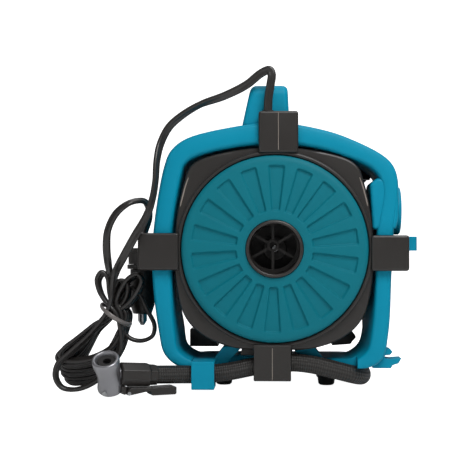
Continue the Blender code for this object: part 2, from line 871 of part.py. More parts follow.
def housing_half(name, outline, side):
    """One half of the fan housing, cut from the whole along the leaning seam."""
    front = [(x * HOUSING_FRONT_SHARE, z * HOUSING_FRONT_SHARE) for x, z in outline]
    inner_share = 1 - HOUSING_WALL / 0.066
    inner_front = HOUSING_FRONT_SHARE * inner_share
    rings = [
        circle_under(outline, RIM_BORE, 0.0),
        circle_under(outline, RIM_RADIUS, 0.0),
        circle_under(outline, RIM_RADIUS, HOUSING_FACE - 0.0006),
        at_depth(front, HOUSING_FACE),
        at_depth(outline, HOUSING_FLARE_END),
        at_depth(outline, HOUSING_BACK),
        at_depth(outline, HOUSING_BACK, inner_share),
        at_depth(outline, HOUSING_FLARE_END, inner_share),
        at_depth(outline, HOUSING_FACE + HOUSING_WALL, inner_front),
        circle_under(outline, RIM_BORE, HOUSING_FACE + HOUSING_WALL),
    ]
    made = loft(name, rings, BLACK, closed=True)
    arms = (
        arm(name + "_left_arm", -RIGHT, 0.0018, 0.0244, 0.0894, 0.0804, SIDE_ARM_BACK),
        arm(name + "_right_arm", RIGHT, -0.0027, 0.0232, 0.0870, 0.0780, SIDE_ARM_BACK, 0.0650),
        arm(name + "_top_arm", UP, -0.0025, 0.0259, 0.0898, 0.0804, TOP_ARM_BACK, 0.0670),
        arm(name + "_bottom_arm", DOWN, -0.0015, 0.0243, 0.0858, 0.0842, SIDE_ARM_BACK, 0.0670),
    )
    keep = [arms[0] if side < 0 else arms[1], arms[2], arms[3]]
    join(made, *keep)
    for spare in arms:
        if spare not in keep:
            bpy.data.objects.remove(spare, do_unlink=True)
    seam = box(
        name + "_seam",
        (-GAP / 2 if side < 0 else -0.2, -0.05, -0.2),
        (0.2 if side < 0 else GAP / 2, 0.15, 0.2),
        cutter=True,
    )
    seam.rotation_euler = Euler((0, math.radians(SEAM_TILT), 0))
    return cut(made, seam)


# ---- front cover, port and grille ----
def front_cover():
    profile = [
        (COVER_RADIUS, 0.0050),
        (COVER_RADIUS, -0.0012),
        (COVER_RADIUS - 0.0012, -0.0029),
        (COVER_RADIUS - 0.0034, -0.0037),
        (0.0400, -0.0048),
        (PORT_OUTER + GAP, -0.0054),
        (PORT_OUTER + GAP, -0.0014),
        (COVER_RADIUS - 0.0032, -0.0004),
        (COVER_RADIUS - 0.0024, 0.0008),
        (COVER_RADIUS - 0.0024, 0.0050),
    ]
    cover = turned("front_cover", profile, (0, 0, 0), BACK, COVER_TEAL, 54, closed=True)
    wedges = []
    half_in, half_out = RECESS_START_WIDTH / 2, RECESS_END_WIDTH / 2
    wedge = [(RECESS_START + half_in, -half_in), (RECESS_END, -half_out)]
    wedge += [(RECESS_END, half_out), (RECESS_START + half_in, half_in)]
    wedge += [(RECESS_START + half_in * 0.3, half_in * 0.7)]
    wedge += [(RECESS_START + half_in * 0.3, -half_in * 0.7)]
    for i in range(COVER_RIBS):
        angle = math.radians(90 + 360 * i / COVER_RIBS)
        cos, sin = math.cos(angle), math.sin(angle)
        wedges.append([(u * cos - v * sin, u * sin + v * cos) for u, v in wedge])
    depth = 0.010
    recesses = plate(
        "recesses",
        wedges,
        depth,
        (0, RECESS_FLOOR - depth / 2, 0),
        axes_turn(RIGHT, UP),
        cutter=True,
    )
    cut(cover, recesses)


def port():
    flange = PORT_OUTER + 0.0045
    profile = [
        (PORT_OUTER, PORT_BACK),
        (PORT_OUTER, 0.0012),
        (flange, 0.0012),
        (flange, -0.0006),
        (PORT_OUTER, -0.0009),
        (PORT_OUTER, PORT_FRONT + 0.0008),
        (PORT_OUTER - 0.0008, PORT_FRONT),
        (PORT_BORE + 0.0004, PORT_FRONT),
        (PORT_BORE, PORT_FRONT + 0.0004),
        (PORT_BORE, PORT_BACK),
    ]
    turned("port_collar", profile, (0, 0, 0), BACK, BLACK, 28, closed=True)


def port_grille():
    front = PORT_BACK + GAP
    outer = GRILLE_RIM + GRILLE_RIM_WIDTH / 2
    inner = GRILLE_RIM - GRILLE_RIM_WIDTH / 2
    at = (GRILLE_X, front, GRILLE_Z)
    rim = [
        (outer, GRILLE_DEPTH),
        (outer, 0.0),
        (inner, 0.0),
        (inner, GRILLE_DEPTH),
    ]
    grille = turned("port_grille", rim, at, BACK, BLACK, 28, closed=True)
    middle = (GRILLE_HUB_BORE + GRILLE_HUB) / 2
    for i in range(GRILLE_SPOKES):
        angle = math.radians(90 + 360 * i / GRILLE_SPOKES)
        along = Vector((math.cos(angle), 0, math.sin(angle)))
        length = GRILLE_RIM - middle
        spoke = plate(
            f"grille_spoke_{i}",
            [rounded_box(length, GRILLE_SPOKE, GRILLE_SPOKE * 0.1, 1)],
            GRILLE_DEPTH * 0.8,
            Vector(at) + along * (middle + length / 2) + BACK * GRILLE_DEPTH / 2,
            axes_turn(along, along.cross(FRONT)),
            cutter=True,
        )
        join(grille, spoke)
    hub = [
        (GRILLE_HUB, GRILLE_DEPTH),
        (GRILLE_HUB, 0.0),
        (GRILLE_HUB_BORE, 0.0),
        (GRILLE_HUB_BORE, GRILLE_DEPTH),
    ]
    join(grille, turned("grille_hub", hub, at, BACK, steps=24, closed=True, cutter=True))


# ---- fan wheel and motor ----
def impeller():
    hub_bore = SHAFT_RADIUS + GAP
    profile = [
        (IMPELLER_RADIUS, IMPELLER_BACK),
        (IMPELLER_RADIUS, IMPELLER_BACK - IMPELLER_PLATE),
        (IMPELLER_HUB, IMPELLER_BACK - IMPELLER_PLATE),
        (IMPELLER_HUB, SHAFT_FRONT + 0.001),
        (hub_bore, SHAFT_FRONT + 0.001),
        (hub_bore, IMPELLER_BACK),
    ]
    wheel = turned("impeller", profile, (0, 0, 0), BACK, BLACK, 28, closed=True)
    depth = IMPELLER_BACK - IMPELLER_PLATE / 2 - IMPELLER_FRONT
    half = BLADE_THICKNESS / 2
    steps = 4
    for i in range(BLADES):
        edges = [], []
        for j in range(steps + 1):
            share = j / steps
            radius = BLADE_ROOT + (IMPELLER_RADIUS - 0.0008 - BLADE_ROOT) * share
            angle = math.radians(360 * i / BLADES - BLADE_SWEEP * share)
            for edge, side in zip(edges, (half, -half)):
                edge.append(
                    (
                        radius * math.cos(angle) - side * math.sin(angle),
                        radius * math.sin(angle) + side * math.cos(angle),
                    )
                )
        blade = plate(
            f"blade_{i}",
            [edges[0] + edges[1][::-1]],
            depth,
            (0, IMPELLER_FRONT + depth / 2, 0),
            axes_turn(RIGHT, UP),
            cutter=True,
        )
        join(wheel, blade)


def motor():
    start = FAN_PLATE_BACK + GAP
    bearing_seat = BEARING_RADIUS + GAP
    can = [
        (MOTOR_RADIUS, MOTOR_BACK),
        (MOTOR_RADIUS, start),
        (bearing_seat, start),
        (bearing_seat, start + BEARING_WIDTH),
        (MOTOR_RADIUS - MOTOR_WALL, start + BEARING_WIDTH),
        (MOTOR_RADIUS - MOTOR_WALL, MOTOR_BACK),
    ]
    turned("motor_can", can, (0, 0, 0), BACK, STEEL, 28, closed=True)
    cap_front = MOTOR_BACK + GAP
    cap = [
        (MOTOR_RADIUS, cap_front + 0.003),
        (MOTOR_RADIUS, cap_front),
        (MOTOR_RADIUS - MOTOR_WALL - GAP, cap_front),
        (MOTOR_RADIUS - MOTOR_WALL - GAP, cap_front - 0.002),
        (bearing_seat, cap_front - 0.002),
        (bearing_seat, cap_front + 0.003),
    ]
    turned("motor_end_cap", cap, (0, 0, 0), BACK, BLACK, 28, closed=True)
    bearing_bore = SHAFT_RADIUS + GAP
    for name, y in (
        ("front_bearing", start),
        ("rear_bearing", cap_front - 0.0015),
    ):
        ring = [
            (BEARING_RADIUS, y + BEARING_WIDTH),
            (BEARING_RADIUS, y),
            (bearing_bore, y),
            (bearing_bore, y + BEARING_WIDTH),
        ]
        turned(name, ring, (0, 0, 0), BACK, STEEL, 16, closed=True)
    core_start, core_end = start + 0.008, MOTOR_BACK - 0.008
    core = [
        (ROTOR_RADIUS, core_end),
        (ROTOR_RADIUS, core_start),
        (bearing_bore, core_start),
        (bearing_bore, core_end),
    ]
    turned("rotor_core", core, (0, 0, 0), BACK, STEEL, 24, closed=True)
    cylinder(
        "motor_shaft",
        (0, SHAFT_FRONT, 0),
        BACK,
        SHAFT_RADIUS,
        SHAFT_BACK - SHAFT_FRONT,
        STEEL,
        sides=16,
    )


# ---- gears ----
GEAR_DISTANCE = GEAR_MODULE * (PINION_TEETH + GEAR_TEETH) / 2
GEAR_X = -GEAR_DISTANCE
FAN_PLATE_FRONT = HOUSING_BACK + GAP
FAN_PLATE_BACK = FAN_PLATE_FRONT + FAN_PLATE
GEAR_PLATE_FRONT = MOTOR_BACK + 0.003 + 2 * GAP
GEAR_FRONT = GEAR_PLATE_FRONT + GEAR_PLATE + 0.0013
GEAR_BACK = GEAR_FRONT + GEAR_WIDTH
ROD_FRONT = GEAR_BACK + RUNNING_GAP
CYLINDER_Y = ROD_FRONT + ROD_WIDTH / 2


def gear_outline(teeth, phase):
    """Straight-sided teeth, thinned by the backlash, with the first centred on the phase."""
    pitch = GEAR_MODULE * teeth / 2
    tip, root = pitch + 0.75 * GEAR_MODULE, pitch - 1.05 * GEAR_MODULE
    half = (math.pi * GEAR_MODULE / 2 - GEAR_BACKLASH) / 2 / pitch
    out = []
    for i in range(teeth):
        middle = math.radians(phase + 360 * i / teeth)
        for radius, share in ((root, -1.55), (tip, -0.42), (tip, 0.42), (root, 1.55)):
            angle = middle + half * share
            out.append((radius * math.cos(angle), radius * math.sin(angle)))
    return out


def pinion_and_gear():
    """The pinion's tooth points at the gear, and the gear's gap at the pinion."""
    hole = arc(SHAFT_RADIUS + GAP, 0, 350, 15)
    middle = (GEAR_FRONT + GEAR_BACK) / 2
    plate(
        "pinion",
        [gear_outline(PINION_TEETH, 180), hole],
        GEAR_WIDTH,
        (0, middle, 0),
        axes_turn(RIGHT, UP),
        STEEL,
    )
    axle_hole = arc(GEAR_AXLE_RADIUS + GAP, 0, 350, 19)
    gear = plate(
        "crank_gear",
        [gear_outline(GEAR_TEETH, 180 / GEAR_TEETH), axle_hole],
        GEAR_WIDTH,
        (GEAR_X, middle, 0),
        axes_turn(RIGHT, UP),
        NYLON,
    )
    pin = cylinder(
        "crank_pin",
        (GEAR_X + CRANK_THROW, GEAR_BACK - 0.002, 0),
        BACK,
        CRANK_PIN_RADIUS,
        0.002 + RUNNING_GAP + ROD_WIDTH + 0.001,
        sides=16,
        cutter=True,
    )
    join(gear, pin)
    axle_front = GEAR_PLATE_FRONT + GEAR_PLATE + GAP
    cylinder(
        "gear_axle",
        (GEAR_X, axle_front, 0),
        BACK,
        GEAR_AXLE_RADIUS,
        GEAR_BACK - 0.0025 - axle_front,
        STEEL,
        sides=20,
    )


# ---- compressor ----
def gear_plate():
    outline = [(x - 0.0135, z - 0.001) for x, z in rounded_box(0.070, 0.043, 0.006)]
    hole = arc(BEARING_RADIUS + GAP, 0, 350, 15)
    plate(
        "gear_plate",
        [outline, hole],
        GEAR_PLATE,
        (0, GEAR_PLATE_FRONT + GEAR_PLATE / 2, 0),
        axes_turn(RIGHT, UP),
        STEEL,
    )


def piston():
    """The rod's eye turns on the crank pin; its other end carries the cup."""
    x = GEAR_X + CRANK_THROW
    eye = plate(
        "piston_rod",
        [arc(ROD_EYE_RADIUS, 0, 345, 23), arc(CRANK_PIN_RADIUS + GAP, 0, 345, 23)],
        ROD_WIDTH,
        (x, CYLINDER_Y, 0),
        axes_turn(RIGHT, UP),
        ALUMINIUM,
    )
    neck_start = ROD_EYE_RADIUS - 0.001
    neck = box(
        "rod_neck",
        (x - ROD_NECK / 2, CYLINDER_Y - ROD_WIDTH * 0.4, neck_start),
        (x + ROD_NECK / 2, CYLINDER_Y + ROD_WIDTH * 0.4, PISTON_REST - GAP),
        cutter=True,
    )
    join(eye, neck)
    cup_radius = CYLINDER_BORE - CRANK_THROW - RUNNING_GAP
    cup = [
        (0.0, PISTON_THICKNESS * 0.5),
        (cup_radius - 0.0015, PISTON_THICKNESS * 0.5),
        (cup_radius - 0.0008, PISTON_THICKNESS),
        (cup_radius, PISTON_THICKNESS),
        (cup_radius - 0.0006, 0.0),
        (0.0, 0.0),
    ]
    turned("piston_cup", cup, (x, CYLINDER_Y, PISTON_REST), UP, RUBBER, 24)


def compressor():
    at = (GEAR_X, CYLINDER_Y, 0)
    profile = [(CYLINDER_BORE, CYLINDER_TOP), (FIN_RADIUS, CYLINDER_TOP)]
    step = (CYLINDER_TOP - CYLINDER_FOOT) / FINS
    for i in range(FINS):
        top = CYLINDER_TOP - step * i
        profile += [
            (FIN_RADIUS, top - step * 0.4),
            (CYLINDER_RADIUS, top - step * 0.45),
        ]
        if i < FINS - 1:
            profile += [(CYLINDER_RADIUS, top - step * 0.95), (FIN_RADIUS, top - step)]
    profile += [(CYLINDER_RADIUS, CYLINDER_FOOT), (CYLINDER_BORE, CYLINDER_FOOT)]
    turned("cylinder", profile, at, UP, ALUMINIUM, 24, closed=True)
    valve_low = CYLINDER_TOP + GAP
    hole = 0.0015
    valve = [
        (FIN_RADIUS, valve_low + VALVE_PLATE),
        (FIN_RADIUS, valve_low),
        (hole, valve_low),
        (hole, valve_low + VALVE_PLATE),
    ]
    turned("valve_plate", valve, at, UP, STEEL, 24, closed=True)
    head_low = valve_low + VALVE_PLATE + GAP
    head = [
        (0.0, HEAD_TOP),
        (FIN_RADIUS - 0.002, HEAD_TOP),
        (FIN_RADIUS, HEAD_TOP - 0.002),
        (FIN_RADIUS, head_low),
        (FIN_RADIUS - 0.004, head_low),
        (FIN_RADIUS - 0.004, HEAD_TOP - 0.003),
        (0.0, HEAD_TOP - 0.003),
    ]
    turned("cylinder_head", head, at, UP, ALUMINIUM, 24)
    barb_z = (head_low + HEAD_TOP) / 2 - 0.0005
    barb_x = GEAR_X + FIN_RADIUS + GAP
    barb = [
        (0.0, 0.0),
        (BARB_RADIUS * 0.7, 0.0),
        (BARB_RADIUS, -0.004),
        (BARB_RADIUS * 0.7, -0.004),
        (BARB_RADIUS, -0.007),
        (BARB_RADIUS, -0.009),
        (0.0, -0.009),
    ]
    turned(
        "outlet_barb", barb, (barb_x + 0.009, CYLINDER_Y, barb_z), RIGHT, BRASS, 16
    )
    route = (
        (barb_x + 0.009 + GAP, CYLINDER_Y, barb_z),
        (0.018, CYLINDER_Y, barb_z - 0.001),
        (0.034, CYLINDER_Y + 0.001, 0.036),
        (0.040, CYLINDER_Y + 0.002, 0.010),
        (0.040, CYLINDER_Y + 0.003, -0.020),
        (FITTING_X - 0.006, HOSE_START[1], HOSE_START[2] + 0.001),
        (FITTING_X - GAP, HOSE_START[1], HOSE_START[2]),
    )
    tube("air_tube", route, AIR_TUBE_RADIUS, RUBBER, per_span=2, resolution=1)


# ---- rear housing, bulkhead and rear cover ----
def superellipse(half_width, half_height, power, count=40, centre=(0, 0)):
    out = []
    for i in range(count):
        angle = math.tau * (i + 0.5) / count
        cos, sin = math.cos(angle), math.sin(angle)
        out.append(
            (
                centre[0] + half_width * math.copysign(abs(cos) ** (2 / power), cos),
                centre[1] + half_height * math.copysign(abs(sin) ** (2 / power), sin),
            )
        )
    return out


def rear_outline(inset):
    return superellipse(
        REAR_HALF[0] - inset, REAR_HALF[1] - inset, REAR_POWER, centre=REAR_CENTRE
    )


FITTING_X = REAR_CENTRE[0] + REAR_HALF[0] - REAR_WALL - 0.004
REAR_FRONT = FAN_PLATE_BACK + GAP
COVER_FRONT = REAR_BACK + GAP


def bulkhead():
    outline = [(x * FAN_PLATE_SHARE, z * FAN_PLATE_SHARE) for x, z in housing_outline()]
    plate(
        "fan_plate",
        [outline, arc(BEARING_RADIUS + GAP, 0, 350, 17)],
        FAN_PLATE,
        (0, FAN_PLATE_FRONT + FAN_PLATE / 2, 0),
        axes_turn(RIGHT, UP),
        BLACK,
    )


def rear_housing():
    rings = [
        at_depth(rear_outline(0), REAR_FRONT),
        at_depth(rear_outline(0), REAR_BACK),
        at_depth(rear_outline(REAR_WALL), REAR_BACK),
        at_depth(rear_outline(REAR_WALL), REAR_FRONT),
    ]
    shell = loft("rear_housing", rings, BLACK, closed=True)
    for i, (x0, z0, x1, z1) in enumerate(LUGS):
        along = Vector((x1 - x0, 0, z1 - z0))
        bar = plate(
            f"lug_{i}",
            [rounded_box(along.length, LUG_WIDTH, LUG_WIDTH * 0.2, 1)],
            LUG_BACK - LUG_FRONT,
            ((x0 + x1) / 2, (LUG_FRONT + LUG_BACK) / 2, (z0 + z1) / 2),
            axes_turn(along, along.cross(FRONT)),
            cutter=True,
        )
        join(shell, bar)
    inner = loft(
        "rear_room",
        [
            at_depth(rear_outline(REAR_WALL), REAR_FRONT - 0.01),
            at_depth(rear_outline(REAR_WALL), REAR_BACK + 0.01),
        ],
        None,
    )
    PUMP.objects.unlink(inner)
    CUTTERS.objects.link(inner)
    inner.hide_render = True
    inner.display_type = "WIRE"
    cut(shell, inner)
    box(
        "switch_box",
        (SWITCH_BOX_X[0], REAR_FRONT + 0.002, SWITCH_BOX_Z[0]),
        (SWITCH_BOX_X[1], REAR_FRONT + 0.034, SWITCH_BOX_Z[1]),
        BLACK,
    )


def rear_cover():
    inset = 0.004
    rings = [
        at_depth(rear_outline(0), COVER_FRONT),
        at_depth(rear_outline(0), REAR_COVER_BACK - 0.005),
        at_depth(rear_outline(inset), REAR_COVER_BACK),
        at_depth(rear_outline(inset + 0.040), REAR_COVER_BACK),
        at_depth(rear_outline(inset + 0.040), REAR_COVER_BACK - REAR_WALL),
        at_depth(rear_outline(inset + REAR_WALL), REAR_COVER_BACK - REAR_WALL),
        at_depth(rear_outline(REAR_WALL), REAR_COVER_BACK - 0.006),
        at_depth(rear_outline(REAR_WALL), COVER_FRONT),
    ]
    cover = loft("rear_cover", rings, BLACK, closed=True)
    grille = box(
        "vent_panel",
        (-0.020, REAR_COVER_BACK - REAR_WALL, -0.025),
        (0.016, REAR_COVER_BACK - 0.0003, 0.019),
        cutter=True,
    )
    join(cover, grille)
    slots = [
        [(x + REAR_CENTRE[0], z + REAR_CENTRE[1] + row) for x, z in rounded_box(0.020, 0.0026, 0.0012, 2)]
        for row in (-0.010, -0.005, 0.0, 0.005, 0.010)
    ]
    cut(
        cover,
        plate(
            "vent_slots",
            slots,
            0.02,
            (0, REAR_COVER_BACK, 0),
            axes_turn(RIGHT, UP),
            cutter=True,
        ),
    )


# ---- gauge ----
def gauge():
    at = (0, GAUGE_Y, GAUGE_Z)
    case_front = POD_OUTER_X - 0.0004
    case = [
        (0.0, GAUGE_BACK_X + 0.002),
        (GAUGE_RADIUS - 0.0012, GAUGE_BACK_X + 0.002),
        (GAUGE_RADIUS - 0.0012, case_front),
        (GAUGE_RADIUS, case_front),
        (GAUGE_RADIUS, GAUGE_BACK_X),
        (0.0, GAUGE_BACK_X),
    ]
    turned("gauge_case", case, at, RIGHT, BLACK, 32)
    dial_back = GAUGE_BACK_X + 0.002 + GAP
    cylinder(
        "gauge_dial",
        (dial_back, GAUGE_Y, GAUGE_Z),
        RIGHT,
        GAUGE_RADIUS - 0.0012 - GAP,
        0.0010,
        DIAL_WHITE,
        sides=32,
    )
    needle_back = dial_back + 0.0010 + GAP
    needle = [
        (-0.0030, -0.0007),
        (0.0, -0.0016),
        (NEEDLE_LENGTH, 0.0),
        (0.0, 0.0016),
        (-0.0030, 0.0007),
    ]
    plate(
        "gauge_needle",
        [needle],
        0.0008,
        (needle_back + 0.0004, GAUGE_Y, GAUGE_Z),
        axes_turn((0, -math.sin(math.radians(45)), -math.cos(math.radians(45))),
                  (0, math.cos(math.radians(45)), -math.sin(math.radians(45)))),
        RED,
    )
    cylinder(
        "gauge_lens",
        (case_front - 0.0022, GAUGE_Y, GAUGE_Z),
        RIGHT,
        GAUGE_RADIUS - 0.0012 - GAP,
        0.0016,
        CLEAR,
        sides=32,
    )


# ---- mode knob ----
def mode_knob():
    start = SWITCH_BOX_X[1] + GAP
    disc_start = 0.0773
    knob = cylinder(
        "mode_knob",
        (start, KNOB_Y, KNOB_Z),
        RIGHT,
        KNOB_SHAFT_RADIUS,
        disc_start + 0.001 - start,
        TEAL,
        sides=20,
    )
    disc = cylinder(
        "knob_disc",
        (disc_start, KNOB_Y, KNOB_Z),
        RIGHT,
        KNOB_DISC_RADIUS,
        0.0035,
        sides=28,
        cutter=True,
    )
    wing_length = KNOB_TIP_X - disc_start - 0.001
    wing = plate(
        "knob_wing",
        [rounded_box(wing_length, KNOB_WING[0], 0.004, 3)],
        KNOB_WING[1],
        (KNOB_TIP_X - wing_length / 2, KNOB_Y, KNOB_Z),
        axes_turn(RIGHT, BACK),
        cutter=True,
    )
    join(knob, disc, wing)


# ---- feet ----
def feet():
    top = FRAME_BOTTOM - GAP
    for row, y in zip(("front", "rear"), FOOT_YS):
        for side, x in (("left", -FOOT_X), ("right", FOOT_X)):
            profile = [
                (0.0, top),
                (FOOT_RADIUS + FOOT_STEP, top),
                (FOOT_RADIUS + FOOT_STEP, top - 0.004),
                (FOOT_RADIUS, -AXIS_HEIGHT + 0.001),
                (FOOT_RADIUS - 0.001, -AXIS_HEIGHT),
                (0.0, -AXIS_HEIGHT),
            ]
            turned(f"foot_{row}_{side}", profile, (x, y, 0), UP, RUBBER, 16)


# ---- air hose, grip and chuck ----
def air_hose():
    tube("air_hose", HOSE_ROUTE, HOSE_RADIUS, BRAID, per_span=2, resolution=2)
    start = FITTING_X
    end = HOSE_START[0] - 2 * GAP
    neck = 0.0042
    profile = [
        (0.0, end),
        (HOSE_RADIUS, end),
        (HOSE_RADIUS, REAR_OUTSIDE + 0.0010 + GAP),
        (HOSE_RADIUS + 0.0015, REAR_OUTSIDE + 0.0008 + GAP),
        (HOSE_RADIUS + 0.0015, REAR_OUTSIDE + GAP),
        (neck, REAR_OUTSIDE + GAP),
        (neck, start),
        (0.0, start),
    ]
    turned(
        "hose_fitting",
        profile,
        (0, HOSE_START[1], HOSE_START[2]),
        RIGHT,
        BLACK,
        20,
    )
    hole = cylinder(
        "fitting_hole",
        (0.03, HOSE_START[1], HOSE_START[2]),
        RIGHT,
        neck + GAP,
        0.04,
        sides=20,
        cutter=True,
    )
    cut(bpy.data.objects["rear_cover"], hole)


REAR_OUTSIDE = REAR_CENTRE[0] + REAR_HALF[0]


def along_hose(distance, down=0.0, aside=0.0):
    """A point from the hose's end: outwards along the grip, downwards and to the front."""
    side = HOSE_OUT.cross(UP)
    return Vector(HOSE_ROUTE[-1]) + HOSE_OUT * distance + DOWN * down + side * aside


def hose_grip():
    octagon = [
        (GRIP_ACROSS / 2 * x, GRIP_ACROSS / 2 * y)
        for x, y in (
            (1, 0.42), (0.42, 1), (-0.42, 1), (-1, 0.42),
            (-1, -0.42), (-0.42, -1), (0.42, -1), (1, -0.42),
        )
    ]
    plate(
        "hose_grip",
        [octagon],
        GRIP_LENGTH,
        along_hose(GAP + GRIP_LENGTH / 2),
        axes_turn(HOSE_OUT.cross(UP), UP),
        BLACK,
    )


def chuck():
    half = CHUCK_LENGTH / 2
    profile = [
        (CHUCK_MOUTH, half),
        (CHUCK_RADIUS - 0.0006, half),
        (CHUCK_RADIUS, half - CHUCK_EDGE),
        (CHUCK_RADIUS, half - 0.0060),
        (CHUCK_WAIST, half - 0.0090),
        (CHUCK_WAIST, 0.0060 - half),
        (CHUCK_RADIUS, 0.0040 - half),
        (CHUCK_RADIUS, 0.0010 - half),
        (CHUCK_RADIUS - 0.0010, -half),
        (0.0, -half),
        (0.0, 0.0030 - half),
        (CHUCK_BORE, 0.0030 - half),
        (CHUCK_BORE, half - CHUCK_MOUTH_DEPTH),
        (CHUCK_MOUTH, half - CHUCK_MOUTH_DEPTH),
    ]
    outside = profile[10:] + profile[:10]
    body = turned("chuck_body", outside, CHUCK_CENTRE, CHUCK_UP, ZINC, 28)
    stem_end = along_hose(2 * GAP + GRIP_LENGTH)
    reach = CHUCK_DISTANCE - 2 * GAP - GRIP_LENGTH - CHUCK_WAIST * 0.8
    join(
        body,
        cylinder(
            "chuck_stem",
            stem_end,
            HOSE_OUT,
            STEM_RADIUS,
            reach,
            sides=16,
            cutter=True,
        ),
    )
    seal = [
        (CHUCK_MOUTH - GAP, half - CHUCK_MOUTH_DEPTH + GAP + 0.0028),
        (CHUCK_MOUTH - GAP, half - CHUCK_MOUTH_DEPTH + GAP),
        (0.0026, half - CHUCK_MOUTH_DEPTH + GAP),
        (0.0026, half - CHUCK_MOUTH_DEPTH + GAP + 0.0028),
    ]
    turned("chuck_seal", seal, CHUCK_CENTRE, CHUCK_UP, RUBBER, 20, closed=True)


def chuck_lever():
    """A thumb lever under the grip, hinged on a pin beside the chuck's foot."""
    side = HOSE_OUT.cross(UP)
    hinge = Vector(CHUCK_CENTRE) - HOSE_OUT * LEVER_HINGE[0] + DOWN * LEVER_HINGE[1]
    back = -HOSE_OUT
    thick = LEVER_THICKNESS / 2
    outline = arc(0.0026, 90, 270, 6)
    outline += [
        (0.010, -thick - 0.0004),
        (LEVER_LENGTH - 0.016, -thick - 0.0012),
        (LEVER_LENGTH - 0.015, -0.0029),
        (LEVER_LENGTH - 0.001, -0.0029),
        (LEVER_LENGTH, -0.0022),
        (LEVER_LENGTH, -thick + 0.0010),
        (0.010, thick - 0.0006),
    ]
    lever = plate(
        "chuck_lever",
        [outline, arc(LEVER_PIN_RADIUS + GAP, 0, 330, 11)],
        LEVER_WIDTH,
        hinge,
        axes_turn(back, UP),
        BLACK,
    )
    pin_half = LEVER_WIDTH / 2 + 0.0006
    cylinder(
        "chuck_lever_pin",
        hinge - side * pin_half,
        side,
        LEVER_PIN_RADIUS,
        2 * pin_half,
        STEEL,
        sides=14,
    )
    return lever


# ---- cord, hank and plug ----
def cord():
    profile = [
        (0.0, GLAND_TOP),
        (GLAND_RADIUS * 0.75, GLAND_TOP),
        (GLAND_RADIUS, GLAND_TOP - GLAND_HEIGHT * 0.8),
        (GLAND_RADIUS, GLAND_TOP - GLAND_HEIGHT),
        (0.0, GLAND_TOP - GLAND_HEIGHT),
    ]
    turned("cord_gland", profile, (GLAND_X, GLAND_Y, 0), UP, RUBBER, 20)
    tube("cord_lead", LEAD_ROUTE, CORD_RADIUS, PVC, per_span=2)
    plate(
        "cord_hank",
        [HANK_OUTLINE],
        HANK_BACK - HANK_FRONT,
        (0, (HANK_FRONT + HANK_BACK) / 2, 0),
        axes_turn(RIGHT, UP),
        PVC,
    )
    tube("cord_tail", TAIL_ROUTE, CORD_RADIUS, PVC, per_span=2)


GLAND_TOP = 0.0898 + GAP + GLAND_HEIGHT


def plug():
    at = (PLUG_X, PLUG_Y, 0)
    body_low = PLUG_COLLAR_Z + 0.0015 + GAP
    top = [
        (0.0, PLUG_TOP),
        (PLUG_RADIUS - 0.003, PLUG_TOP),
        (PLUG_RADIUS, PLUG_TOP - 0.003),
        (PLUG_RADIUS, body_low),
        (0.0, body_low),
    ]
    turned("plug_body", top, at, UP, BLACK, 24)
    collar = [
        (PLUG_RADIUS + 0.0008, PLUG_COLLAR_Z + 0.0015),
        (PLUG_RADIUS + 0.0008, PLUG_COLLAR_Z - 0.0015),
        (0.004, PLUG_COLLAR_Z - 0.0015),
        (0.004, PLUG_COLLAR_Z + 0.0015),
    ]
    turned("plug_collar", collar, at, UP, BLACK, 24, closed=True)
    nose_top = PLUG_COLLAR_Z - 0.0015 - GAP
    bore = TIP_RADIUS + RUNNING_GAP
    nose = [
        (0.0, nose_top),
        (PLUG_NOSE_RADIUS + 0.001, nose_top),
        (PLUG_NOSE_RADIUS + 0.001, PLUG_BOTTOM + 0.006),
        (PLUG_NOSE_RADIUS - 0.001, PLUG_BOTTOM),
        (bore, PLUG_BOTTOM),
        (bore, nose_top - 0.004),
        (0.0, nose_top - 0.004),
    ]
    turned("plug_nose", nose, at, UP, BLACK, 24)
    tip_top = nose_top - 0.004 - TIP_TRAVEL - RUNNING_GAP
    tip = [
        (0.0, tip_top),
        (TIP_RADIUS, tip_top),
        (TIP_RADIUS, TIP_BOTTOM + 0.003),
        (TIP_RADIUS * 0.4, TIP_BOTTOM),
        (0.0, TIP_BOTTOM),
    ]
    turned("plug_tip", tip, at, UP, STEEL, 20)
    for name, side in (("plug_contact_left", -1), ("plug_contact_right", 1)):
        x = PLUG_X + side * (PLUG_NOSE_RADIUS + 0.001 + GAP)
        bow = [
            (0.0, nose_top - 0.004),
            (side * 0.0018, nose_top - 0.012),
            (side * 0.0018, nose_top - 0.016),
            (0.0, nose_top - 0.024),
            (0.0, nose_top - 0.022),
            (side * 0.0006, nose_top - 0.015),
            (side * 0.0006, nose_top - 0.013),
            (0.0, nose_top - 0.006),
        ]
        plate(name, [bow], 0.004, (x, PLUG_Y, 0), axes_turn(RIGHT, UP), STEEL)


# ---- fasteners ----
def screws():
    """Screws that hold the rear cover, with their heads on its flat back."""
    for i, (x, z) in enumerate(((-0.040, 0.040), (0.036, 0.040), (-0.002, -0.052))):
        cylinder(
            f"cover_screw_{i + 1}",
            (x, REAR_COVER_BACK + GAP, z),
            BACK,
            (SCREW_HEAD_RADIUS, SCREW_HEAD_RADIUS * 0.8),
            SCREW_HEAD_HEIGHT,
            STEEL,
            sides=16,
        )


carry_frame()
handle()
hose_clip()
OUTLINE = housing_outline()
housing_half("housing_left", OUTLINE, -1)
housing_half("housing_right", OUTLINE, 1)
front_cover()
port()
port_grille()
impeller()
motor()
bulkhead()
rear_housing()
rear_cover()
gear_plate()
pinion_and_gear()
piston()
compressor()
gauge()
mode_knob()
feet()
air_hose()
hose_grip()
chuck()
chuck_lever()
cord()
plug()
screws()
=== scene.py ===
"""Looks for the portable air pump: skins, materials, cord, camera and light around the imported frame."""

import json
import math

